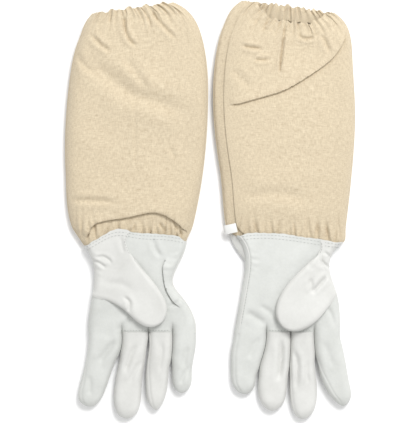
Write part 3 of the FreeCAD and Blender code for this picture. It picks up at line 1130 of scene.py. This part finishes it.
def make_materials(leather, canvas):
    grain = leather_grain_group()
    leather_material("Palm leather", leather.palm_colour, leather.palm_shade, 0.72, grain, 0.0004)
    leather_material("White leather", leather.front_colour, leather.front_shade, 0.6, grain, 0.0003)
    canvas_material("Canvas", canvas.colour, canvas.shade, plain_weave_group())
    new_material("Thread", leather.thread_colour, 0.6)
    new_material("Elastic", canvas.elastic_colour, 0.85)
    new_material("Label", canvas.label_colour, 0.7)


# ---------------------------------------------------------------- sleeves

class Sleeve:
    """The measures of one canvas sleeve, from under the cuff to the mouth."""

    START = -50.0

    def __init__(self, side):
        self.side = side
        front = f"{side}_sleeve_front"
        edges = panel_edges(front, f"{side}_cuff_canvas")
        line = split_at_longest(outline_loop(front), lambda a, b: a[1] > 150 and b[1] > 150)
        ends = sorted([line[0], line[-1]], key=lambda p: p[0])
        self.left_mouth, self.right_mouth = ends
        self.left_table = side_table(edges, self.START, self.left_mouth[1] - 0.05, 0, count=300)
        self.right_table = side_table(edges, self.START, self.right_mouth[1] - 0.05, 1, count=300)
        hand = Hand(side)
        for (places, values), corner, inner, inward in (
                (self.left_table, hand.left_corner, hand.left, 1),
                (self.right_table, hand.right_corner, hand.right, -1)):
            tucked = places < corner[1]
            under = 2.6 * smooth((corner[1] - places[tucked]) / 6.0 + 0.3)
            values[tucked] = inner(places[tucked]) + inward * under
            eased = np.arange(1, len(values) - 1) < tucked.sum() + 22
            for _ in range(12):
                mean = (values[:-2] + values[1:-1] + values[2:]) / 3
                values[1:-1] = np.where(eased, mean, values[1:-1])
        shares = np.linspace(0, 1, SLEEVE_ROWS)
        left_y = mix(self.START, self.left_mouth[1], shares)
        right_y = mix(self.START, self.right_mouth[1], shares)
        self.shares = shares
        self.left = np.stack([np.interp(left_y, *self.left_table), left_y], -1)
        self.right = np.stack([np.interp(right_y, *self.right_table), right_y], -1)
        self.low_x = self.left[:, 0].min()
        self.high_x = self.right[:, 0].max()
        tuck = SLEEVE_TUCK * smooth((left_y + 20.0) / 70.0)
        self.left[:, 0] += tuck * smooth((self.left_mouth[1] - left_y) / 30.0)
        self.width = np.linalg.norm(self.right - self.left, axis=1)
        self.top_y = max(self.left_mouth[1], self.right_mouth[1])

    def spot(self, a, b):
        """A place on the sleeve from shares of its width and of its length above the cuff."""
        return mix(self.low_x, self.high_x, a), mix(-20.0, self.top_y, b)

    def profile(self):
        """Rise of the front above the middle of the sleeve, row by row."""
        y = self.left[:, 1]
        return mix(6.0, 8.2, smooth((y + 34.0) / 40.0)) - 1.4 * smooth((self.shares - 0.85) / 0.15)

    def lay(self, share, lift, upper):
        """Points of the front or the back at shares of the width."""
        x = mix(self.left[:, :1], self.right[:, :1], share)
        y = mix(self.left[:, 1:], self.right[:, 1:], share)
        rise = self.profile()[:, None] if upper else 1.2 - MIDDLE
        return x, y, MIDDLE + rise * lift

    def front(self, start_inset):
        """The front, which may start at a distance from the left edge."""
        first = start_inset / self.width[:, None]
        share = first + crowded(SLEEVE_COLUMNS)[None, :] * (1 - first)
        inset = np.minimum(share, 1 - share) * self.width[:, None]
        lift = quarter(inset / CANVAS_EDGE)
        x, y, z = self.lay(share, lift, True)
        y = y + self.rim(share) * smooth((self.shares[:, None] - 0.8) / 0.2)
        inner = smooth(inset / 10.0)
        z = z + self.relief(x, y) * inner
        z = z + self.mouth_pleats(y, share) * smooth(inset / 4.0)
        return shifted(np.stack([x, y, z], axis=-1), SLEEVE_FOLDS[self.side], self.spot, inner)

    def back(self, wrap=0.0):
        """The back, which may wrap round the left edge onto the front."""
        share = np.broadcast_to(crowded(SLEEVE_BACK_COLUMNS), (SLEEVE_ROWS, SLEEVE_BACK_COLUMNS))
        inset = np.minimum(share, 1 - share) * self.width[:, None]
        x, y, z = self.lay(share, quarter(inset / CANVAS_EDGE), False)
        y = y + self.back_rim(share) * smooth((self.shares[:, None] - 0.8) / 0.2)
        down = self.top_y - y
        pleats = 0.5 + 0.5 * np.sin(share * 118.0 + 2.2 * np.sin(share * 23.0) + 0.05 * down)
        z = z + 3.2 * pleats ** 1.5 * np.exp(-(down / 26.0) ** 2) * smooth(inset / 12.0)
        under = np.stack([x, y, z], axis=-1)
        if not wrap:
            return under
        turns = np.linspace(wrap, 0.0, 14, endpoint=False)
        share = turns[None, :] / self.width[:, None]
        inset = share * self.width[:, None]
        x, y, z = self.lay(share, quarter(inset / CANVAS_EDGE), True)
        y = y + self.rim(share) * smooth((self.shares[:, None] - 0.8) / 0.2)
        z = z - 1.7 * smooth(inset / 8.0) + self.relief(x, y) * smooth(inset / 10.0)
        over = np.stack([x, y, z], axis=-1)
        return np.concatenate([over, under], axis=1)

    def rim(self, share):
        """How far the front's rim lies beyond the line between the mouth's corners."""
        if self.side == "right":
            wave = 1.2 * np.sin(share * 31.0) + 1.0 * np.sin(share * 57.0 + 1.0)
            return wave * smooth(share / 0.08) * smooth((1 - share) / 0.08)
        sag = -17.0 * smooth((share - 0.1) / 0.24) * smooth((1 - share) / 0.30)
        wave = 1.3 * np.sin(share * 58.0) + 1.0 * np.sin(share * 91.0)
        return sag + wave * smooth(share / 0.08) * smooth((1 - share) / 0.08)

    def back_rim(self, share):
        if self.side == "right":
            return -2.0 + 0.8 * np.sin(share * 40.0)
        wave = 1.3 * np.sin(share * 88.0 + 2.0 * np.sin(share * 17.0)) + 0.8 * np.sin(share * 41.0)
        return 2.0 * np.sin(share * math.pi) + wave * smooth(share / 0.1) * smooth((1 - share) / 0.1)

    def band(self, offset, first, last, upper):
        """A band inside the mouth, given rows down from the rim and a distance from the cloth."""
        whole = self.front(start_inset=16.0) if upper else self.back()
        rows = whole[SLEEVE_ROWS - last:SLEEVE_ROWS - first, 26:-26].copy()
        rows[..., 2] += -offset if upper else offset
        return rows

    def relief(self, x, y):
        """The soft waves of the front and the gathers at its cuff."""
        u, v = x / 160.0, y / 160.0
        total = 1.3 * ripple(seed_of("sleeve", self.side), u, v, 7, 0.5, 1.6)
        total = total + 0.5 * ripple(seed_of("sleeve_fine", self.side), u, v, 9, 2.0, 4.5)
        return total * smooth((y + 30.0) / 35.0) + self.gathers(x, y)

    def gathers(self, x, y):
        """Short gathers where the canvas is drawn into the cuff."""
        dice = np.random.default_rng(seed_of("gathers", self.side))
        places = np.linspace(self.low_x + 18, self.high_x - 18, 24) + dice.uniform(-3.0, 3.0, 24)
        ranges = ((7.0, 16.0), (-0.25, 0.25), (1.2, 2.2), (1.0, 2.6))
        hold = smooth((y + 44.0) / 14.0)
        return furrows(dice, places, x, y + 24.0, y + 26.0, ranges, (0.45, 2.4, 1.3), hold)

    def mouth_pleats(self, y, share):
        """Tight pleats drawn in by the elastic, running down from the rim, and the casing's groove."""
        dice = np.random.default_rng(seed_of("pleats", self.side))
        down = mix(self.left_mouth[1], self.right_mouth[1], share) + self.rim(share) - y
        places = np.linspace(0.03, 0.97, 31) + dice.uniform(-0.012, 0.012, 31)
        ranges = ((10.0, 26.0), (-0.0012, 0.0012), (0.008, 0.016), (1.0, 2.4))
        pleats = furrows(dice, places, share, down, down, ranges, (0.5, 2.2, 1.2))
        return pleats - 0.7 * np.exp(-((down - 13.0) / 2.4) ** 2)


# Folds of the sleeves: kind, places as shares of the sleeve's width and length, then its sizes
SLEEVE_FOLDS = {
    "right": [
        (fold, [(0.172, -0.051), (0.203, 0.003), (0.274, 0.030), (0.456, 0.050), (0.646, 0.071),
                (0.792, 0.026), (0.891, -0.042)], 3.6, 18.0, 0.5, 1.7, 0.06),
        (crease, [(0.512, 0.021), (0.50, 0.0), (0.482, -0.02)], 2.0, 1.5, 0.6),
        (crease, [(0.666, 0.021), (0.69, 0.002), (0.705, -0.02)], 2.2, 1.6, 0.6),
        (crease, [(0.783, 0.012), (0.80, -0.01), (0.83, -0.038)], 2.2, 1.6, 0.6),
        (crease, [(0.04, 0.118), (0.20, 0.118), (0.40, 0.112)], 1.8, 3.0, 0.6, 0.3),
        (crease, [(0.50, 0.60), (0.505, 0.42), (0.51, 0.25)], 0.8, 1.5, 0.5),
        (crease, [(0.06, 0.80), (0.30, 0.68), (0.47, 0.60), (0.68, 0.55), (0.92, 0.49)], 2.6, 8.5, 0.7, 0.3),
        (crease, [(0.43, 0.95), (0.435, 0.88), (0.47, 0.83), (0.53, 0.795)], 2.6, 1.9, 0.6),
        (crease, [(0.20, 0.86), (0.27, 0.81), (0.35, 0.775)], 2.2, 2.3, 0.6),
        (crease, [(0.60, 0.97), (0.70, 0.89), (0.80, 0.83)], 2.0, 2.0, 0.6),
        (crease, [(0.08, 0.78), (0.17, 0.71), (0.25, 0.68)], 1.6, 3.4, 0.5),
        (crease, [(0.42, 0.76), (0.52, 0.68), (0.60, 0.60)], 1.6, 4.2, 0.5),
        (crease, [(0.74, 0.36), (0.78, 0.30)], 1.0, 2.5, 0.5),
    ],
    "left": [
        (fold, [(0.12, 0.535), (0.35, 0.575), (0.52, 0.61), (0.68, 0.67), (0.82, 0.735), (0.90, 0.80),
                (0.945, 0.88)], 3.2, 18.0, 0.45, 1.5, 0.08),
        (crease, [(0.53, 0.93), (0.505, 0.82), (0.475, 0.655)], 3.2, 1.25, 0.5),
        (crease, [(0.21, 0.80), (0.29, 0.79), (0.37, 0.785)], 2.2, 1.9, 0.6),
        (crease, [(0.30, 0.74), (0.36, 0.735), (0.43, 0.74)], 1.9, 1.9, 0.6),
        (crease, [(0.60, 0.85), (0.66, 0.83), (0.74, 0.84)], 2.2, 1.9, 0.6),
        (crease, [(0.75, 0.86), (0.80, 0.81), (0.83, 0.76)], 1.8, 2.2, 0.6),
        (crease, [(0.58, 0.96), (0.54, 0.88), (0.50, 0.80)], 1.6, 2.0, 0.6),
        (crease, [(0.15, 0.70), (0.24, 0.64), (0.30, 0.62)], 1.2, 4.0, 0.5),
        (crease, [(0.20, 0.13), (0.45, 0.15), (0.70, 0.12)], 1.2, 6.0, 0.5),
    ],
}


# ---------------------------------------------------------------- settings

def colour_setting(name, description, default):
    return bpy.props.FloatVectorProperty(
        name=name, description=description, subtype="COLOR", size=3, default=default, min=0, max=1)


class GloveLeatherSettings(bpy.types.PropertyGroup):
    """Colours of the leather and the thread."""
    palm_colour: colour_setting("Palm", "Light tone of the palm leather", (0.63, 0.64, 0.615))
    palm_shade: colour_setting("Palm shade", "Darker tone of the palm leather", (0.53, 0.54, 0.515))
    front_colour: colour_setting(
        "Front", "Light tone of the thumb and finger front leather", (0.66, 0.66, 0.635))
    front_shade: colour_setting(
        "Front shade", "Darker tone of the thumb and finger front leather", (0.57, 0.57, 0.545))
    thread_colour: colour_setting("Thread", "Colour of the sewing thread", (0.40, 0.41, 0.39))


class GloveCanvasSettings(bpy.types.PropertyGroup):
    """Colours of the canvas, the elastic and the label."""
    colour: colour_setting("Canvas", "Light tone of the canvas", (0.70, 0.605, 0.445))
    shade: colour_setting("Canvas shade", "Darker tone of the canvas", (0.50, 0.41, 0.285))
    elastic_colour: colour_setting("Elastic", "Colour of the elastic bands", (0.75, 0.73, 0.68))
    label_colour: colour_setting("Label", "Colour of the blank label", (0.76, 0.76, 0.74))


class GloveStageSettings(bpy.types.PropertyGroup):
    """Camera, light and floor."""
    camera_height: bpy.props.FloatProperty(
        name="Camera height", description="Height of the camera above the gloves", default=1.872,
        min=0.5, max=5.0, unit="LENGTH")
    lens: bpy.props.FloatProperty(
        name="Lens", description="Focal length of the camera in millimetres", default=135.0,
        min=20, max=300)
    daylight: bpy.props.FloatProperty(
        name="Daylight", description="Strength of the even light from all round", default=0.79,
        min=0, max=10)
    floor_colour: colour_setting("Floor", "Colour of the floor", (0.95, 0.95, 0.95))


# ---------------------------------------------------------------- operators

class SideOperator:
    """What the operators of one glove share."""
    bl_options = {"REGISTER"}
    side: bpy.props.EnumProperty(
        name="Glove", description="Which glove to build",
        items=[("right", "Right", "Right-hand glove"), ("left", "Left", "Left-hand glove")])


class GLOVES_OT_materials(bpy.types.Operator):
    """Mix the leathers, the canvas, the thread, the elastic and the label"""
    bl_idname = "gloves.materials"
    bl_label = "Materials"

    def execute(self, context):
        make_materials(context.scene.glove_leather, context.scene.glove_canvas)
        return {"FINISHED"}


class GLOVES_OT_hand(SideOperator, bpy.types.Operator):
    """Sew the palm, the back, the side strips, the welt and the wrist elastic of one glove"""
    bl_idname = "gloves.hand"
    bl_label = "Hand"

    def execute(self, context):
        side = self.side
        hand = Hand(side)
        body = f"{side}_hand"
        palm = sheet_piece(f"{side}_palm", [hand.grid(True)], "Palm leather", covered=Thumb(hand).covers)
        back = sheet_piece(f"{side}_hand_back", [hand.grid(False)], "Palm leather")
        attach(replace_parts(palm, f"{side}_palm_panel"), body)
        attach(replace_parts(back, f"{side}_back_panel"), body)
        left, right = hand.rows(np.linspace(0, 1, HAND_ROWS))
        middle = np.full(HAND_ROWS, MIDDLE)
        rise = mix(FINGER_RISE, PALM_RISE, smooth((left[:, 1] - KNUCKLE) / 40.0))
        tube = Stall(left, right, (middle, middle), rise, middle, hand.seams)
        thumb_side, outer_side = ("left", "right") if side == "right" else ("right", "left")
        strip = sheet_piece(f"{side}_hand_side_strip", [tube.strip(thumb_side)], "Palm leather")
        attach(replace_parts(strip, f"{side}_index_side_wrap"), body)
        outer = tube.strip(outer_side)
        outer_strip = sheet_piece(f"{side}_outer_side_strip", [outer], "Palm leather")
        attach(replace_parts(outer_strip, f"{side}_outer_welt"), body)
        welt = joined_piece(f"{side}_hand_welt", [bead(outer[:, 0], 0.9)], "White leather")
        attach(welt, body)
        wrist_y = sum(corner.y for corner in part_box(f"{side}_wrist_elastic")) / 2 / MM
        rows = np.linspace(wrist_y - 5, wrist_y + 5, 8)[:, None]
        x = mix(hand.left(rows) + 9, hand.right(rows) - 9, np.linspace(0, 1, 90)[None, :])
        y = np.broadcast_to(rows, x.shape)
        band = np.stack([x, y, 2.6 + 0.25 * np.sin(x / 1.3)], -1)
        elastic = sheet_piece(f"{side}_wrist_band", [band], "Elastic", thickness=1.0, core=-50.0)
        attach(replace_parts(elastic, f"{side}_wrist_elastic"), body)
        return {"FINISHED"}


class GLOVES_OT_fingers(SideOperator, bpy.types.Operator):
    """Sew the fronts, backs and side strips of the four fingers of one glove"""
    bl_idname = "gloves.fingers"
    bl_label = "Fingers"

    def execute(self, context):
        side = self.side
        hand = Hand(side)
        for name in FINGERS:
            stall = finger_stall(hand, name)
            front = finger_front(side, name, stall)
            look = "Palm leather"
            if name in ("middle", "ring"):
                look = "White leather"
                lap = np.clip((KNUCKLE - front[..., 1]) / 5.0, 0, 1)
                front[..., 2] += 0.6 * (1 - smooth(lap))
                front[..., 1] += 1.2 * np.exp(-np.linspace(0, 20, front.shape[0]))[:, None]
            face = sheet_piece(f"{side}_{name}_finger_front", [front], look)
            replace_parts(face, f"{side}_{name}_front")
            inside = stall.face(PER_FINGER, upper=False)
            back = sheet_piece(f"{side}_{name}_finger_back", [inside], "Palm leather")
            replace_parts(back, f"{side}_{name}_back")
            strips = [stall.strip("left"), stall.strip("right")]
            strips = sheet_piece(f"{side}_{name}_finger_strips", strips, look)
            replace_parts(strips, f"{side}_{name}_sides")
            for piece in (face, back, strips):
                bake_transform(piece)
        return {"FINISHED"}


class GLOVES_OT_thumb(SideOperator, bpy.types.Operator):
    """Sew the wing and the thumb of one glove"""
    bl_idname = "gloves.thumb"
    bl_label = "Thumb and wing"

    def execute(self, context):
        side = self.side
        thumb = Thumb(Hand(side))
        top = sheet_piece(f"{side}_wing_and_thumb", [thumb.sheet()], "White leather", core=0.0)
        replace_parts(top, f"{side}_thumb_wing", f"{side}_thumb_back")
        tube = thumb.beyond(0.98)
        below = tube.face(40, upper=False)
        under = sheet_piece(f"{side}_thumb_underside", [below], "Palm leather", core=60.0)
        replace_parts(under, f"{side}_thumb_palm_side")
        strips = [tube.strip("left"), tube.strip("right")]
        strips = sheet_piece(f"{side}_thumb_strips", strips, "White leather", core=THUMB_MIDDLE)
        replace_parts(strips, f"{side}_thumb_sides")
        for piece in (top, under, strips):
            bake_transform(piece)
        return {"FINISHED"}


class GLOVES_OT_sleeve(SideOperator, bpy.types.Operator):
    """Sew the canvas sleeve of one glove, with its side seams and its gathered mouth"""
    bl_idname = "gloves.sleeve"
    bl_label = "Sleeve"

    def execute(self, context):
        side = self.side
        sleeve = Sleeve(side)
        wrap = 12.0 if side == "left" else 0.0
        front = sheet_piece(f"{side}_sleeve_front_panel", [sleeve.front(wrap)], "Canvas", CANVAS)
        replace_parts(front, f"{side}_sleeve_front", f"{side}_cuff_canvas")
        back = sheet_piece(f"{side}_sleeve_back_panel", [sleeve.back(wrap)], "Canvas", CANVAS)
        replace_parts(back, f"{side}_sleeve_back")
        seams = []
        for line in (sleeve.left, sleeve.right):
            seams.append(bead(np.column_stack([line, np.full(len(line), MIDDLE)]), 0.9))
        seam = joined_piece(f"{side}_sleeve_seams", seams, "Canvas")
        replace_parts(seam, f"{side}_sleeve_side_seams")
        elastic = [sleeve.band(1.3, 7, 12, upper) for upper in (True, False)]
        elastic = sheet_piece(f"{side}_mouth_band", elastic, "Elastic", 0.5)
        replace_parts(elastic, f"{side}_mouth_elastic")
        casing = [sleeve.band(2.1, 5, 14, upper) for upper in (True, False)]
        casing = sheet_piece(f"{side}_mouth_casing", casing, "Canvas", 0.4)
        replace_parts(casing, f"{side}_elastic_casing")
        for piece in (front, back, seam, elastic, casing):
            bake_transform(piece)
        return {"FINISHED"}


class GLOVES_OT_stitching(SideOperator, bpy.types.Operator):
    """Sew the rows of stitches along the cuff, the finger fronts, the wing and the left outer strip"""
    bl_idname = "gloves.stitching"
    bl_label = "Stitching"

    def execute(self, context):
        side = self.side
        hand = Hand(side)
        thumb = Thumb(hand)
        body = f"{side}_hand"
        rows = []
        for depth in (2.6, 6.4):
            x = np.linspace(hand.left_corner[0] + 3.5, hand.right_corner[0] - 3.5, 120)
            y = hand.hem(x) - depth
            over_wing = x < thumb.seam_top[0] if side == "right" else x > thumb.seam_top[0]
            z = hand.top(x, y) + np.where(over_wing, WING_LAP, 0.0) + 0.12
            rows.append(stitches(x, y, z, 2.6, 1.6, 0.3))
        cuff = joined_piece(f"{side}_cuff_stitching", rows, "Thread")
        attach(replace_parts(cuff, f"{side}_cuff_stitches"), body)
        (start, _), (_, end) = hand.spans[1:3]
        x = np.linspace(start + 2.5, end - 2.5, 60)
        y = np.full(60, KNUCKLE + 3.4)
        base = stitches(x, y, hand.top(x, y) + 0.1, 2.2, 1.2, 0.32)
        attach(joined_piece(f"{side}_finger_front_stitching", [base], "Thread"), body)
        y = np.linspace(thumb.seam_top[1] - 2.5, thumb.inner[WING_SEAM_END][1] + 2.0, 30)
        seam = thumb.inner[:WING_SEAM_END]
        seam = seam[np.argsort(seam[:, 1])]
        x = np.interp(y, seam[:, 1], seam[:, 0]) + (-1.6 if side == "right" else 1.6)
        wing = stitches(x, y, hand.top(x, y) + WING_LAP + 0.1, 2.2, 1.2, 0.32)
        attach(joined_piece(f"{side}_wing_stitching", [wing], "Thread"), body)
        if side == "left":
            y = np.linspace(-56.0, KNUCKLE + 8.0, 60)
            x = hand.left(y) + hand.insets[0] + 1.6
            outer = stitches(x, y, hand.top(x, y) + 0.1, 2.2, 1.2, 0.3)
            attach(joined_piece("left_outer_stitching", [outer], "Thread"), body)
        return {"FINISHED"}


class GLOVES_OT_label(bpy.types.Operator):
    """Sew the blank folded size label and the strip of back leather beside the left cuff"""
    bl_idname = "gloves.label"
    bl_label = "Label and cuff edge"

    def execute(self, context):
        low, high = [np.array(corner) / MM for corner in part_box("left_size_label")]
        middle = (low + high) / 2
        middle[:2] += (2.5, 3.8)
        turn = math.radians(12.5)
        along = np.array([math.cos(turn), math.sin(turn)])
        across = np.array([-math.sin(turn), math.cos(turn)])
        half = np.array([high[0] - low[0], high[1] - low[1]]) * 0.66
        bend = -0.86
        turned = bend - 0.14 * np.sin(np.linspace(0.3, 2.8, 6))
        length = np.concatenate([np.linspace(1, bend, 12), turned, np.linspace(bend, 1, 12)])[:, None]
        lift = np.concatenate([np.full(12, 0.0), np.linspace(0.25, 1.55, 6), np.full(12, 1.8)])[:, None]
        width = np.linspace(-1, 1, 12)[None, :]
        flat = middle[:2] + length[..., None] * half[0] * along + width[..., None] * half[1] * across
        droop = 4.5 * ((1.0 - length) / 2) ** 2
        z = low[2] - 1.0 + lift + 0.35 * np.cos(width * 2.2) - droop
        points = np.concatenate([flat, z[..., None]], -1)
        label = sheet_piece("left_label", [points], "Label", 0.35, low[2])
        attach(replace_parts(label, "left_size_label"), "left_hand")
        hand = Hand("left")
        top = np.array([middle[0] - 1.5, low[1] + 1.0])
        corner = hand.left_corner
        wrist = np.array([hand.left(-60.0), -60.0])
        outer = [top, mix(top, wrist, 0.45) + (-1.2, -1.0), wrist]
        inner = [corner + (3.5, 0.0), mix(corner, wrist, 0.5) + (4.5, 0.0), wrist + (3.5, 1.0)]
        outer, inner = [resample(soft_path(line)[0], np.linspace(0, 1, 30)) for line in (outer, inner)]
        share = np.linspace(0, 1, 10)[None, :, None]
        flat = outer[:, None, :] + (inner - outer)[:, None, :] * share
        z = np.broadcast_to(4.5 + 3.6 * np.sin(share * math.pi / 2), (30, 10, 1))
        strip = sheet_piece("left_cuff_edge", [np.concatenate([flat, z], -1)], "White leather", core=0.0)
        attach(strip, "left_hand")
        return {"FINISHED"}


class GLOVES_OT_stage(bpy.types.Operator):
    """Set the floor, the light and the camera"""
    bl_idname = "gloves.stage"
    bl_label = "Stage"

    def execute(self, context):
        settings = context.scene.glove_stage
        deselect()
        bpy.ops.mesh.primitive_plane_add(size=6.0, location=(0, 0, -0.0006))
        floor = bpy.context.object
        floor.name = "Floor"
        new_material("Floor paper", settings.floor_colour, 0.95)
        floor.data.materials.append(bpy.data.materials["Floor paper"])
        bpy.ops.object.camera_add(location=(0, -0.0014, settings.camera_height), rotation=(0, 0, 0))
        camera = bpy.context.object
        camera.name = "Camera above"
        camera.data.lens = settings.lens
        camera.data.sensor_fit = "VERTICAL"
        camera.data.sensor_height = 36.0
        context.scene.camera = camera
        world = bpy.data.worlds.new("Studio")
        world.use_nodes = True
        context.scene.world = world
        backdrop = next(n for n in world.node_tree.nodes if n.type == "BACKGROUND")
        backdrop.inputs["Color"].default_value = (1.0, 1.0, 1.0, 1.0)
        backdrop.inputs["Strength"].default_value = settings.daylight
        place = Vector((0.7, 1.3, 1.9))
        bpy.ops.object.light_add(type="AREA", location=place)
        key = bpy.context.object
        key.name = "Window light"
        key.data.shape = "RECTANGLE"
        key.data.size = 1.0
        key.data.size_y = 0.8
        key.data.energy = 45.0
        key.rotation_euler = (-place).to_track_quat("-Z", "Y").to_euler()
        context.scene.view_settings.view_transform = "Standard"
        return {"FINISHED"}


class GLOVES_PT_panel(bpy.types.Panel):
    """Lists the steps of the build"""
    bl_idname = "GLOVES_PT_panel"
    bl_label = "Beekeeping gloves"
    bl_space_type = "VIEW_3D"
    bl_region_type = "UI"
    bl_category = "Gloves"

    def draw(self, context):
        layout = self.layout
        layout.operator("gloves.materials")
        for side in SIDES:
            for step in SIDE_STEPS:
                layout.operator(step.bl_idname, text=f"{side.title()} {step.bl_label.lower()}").side = side
        layout.operator("gloves.label")
        layout.operator("gloves.stage")
        for settings in SETTINGS:
            group = getattr(context.scene, settings)
            for name in group.bl_rna.properties.keys():
                if name not in ("rna_type", "name"):
                    layout.prop(group, name)


SIDE_STEPS = (GLOVES_OT_hand, GLOVES_OT_fingers, GLOVES_OT_thumb, GLOVES_OT_sleeve, GLOVES_OT_stitching)
SETTINGS = {"glove_leather": GloveLeatherSettings, "glove_canvas": GloveCanvasSettings,
            "glove_stage": GloveStageSettings}
CLASSES = (*SETTINGS.values(), GLOVES_OT_materials, *SIDE_STEPS, GLOVES_OT_label, GLOVES_OT_stage,
           GLOVES_PT_panel)


def register():
    for cls in CLASSES:
        bpy.utils.register_class(cls)
    for name, cls in SETTINGS.items():
        setattr(bpy.types.Scene, name, bpy.props.PointerProperty(type=cls))


def unregister():
    for name in SETTINGS:
        delattr(bpy.types.Scene, name)
    for cls in reversed(CLASSES):
        bpy.utils.unregister_class(cls)


def main():
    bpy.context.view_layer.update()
    register()
    bpy.ops.gloves.materials()
    for side in SIDES:
        bpy.ops.gloves.hand(side=side)
        bpy.ops.gloves.fingers(side=side)
        bpy.ops.gloves.thumb(side=side)
        bpy.ops.gloves.sleeve(side=side)
        bpy.ops.gloves.stitching(side=side)
    bpy.ops.gloves.label()
    bpy.ops.gloves.stage()


if __name__ == "__main__":
    main()
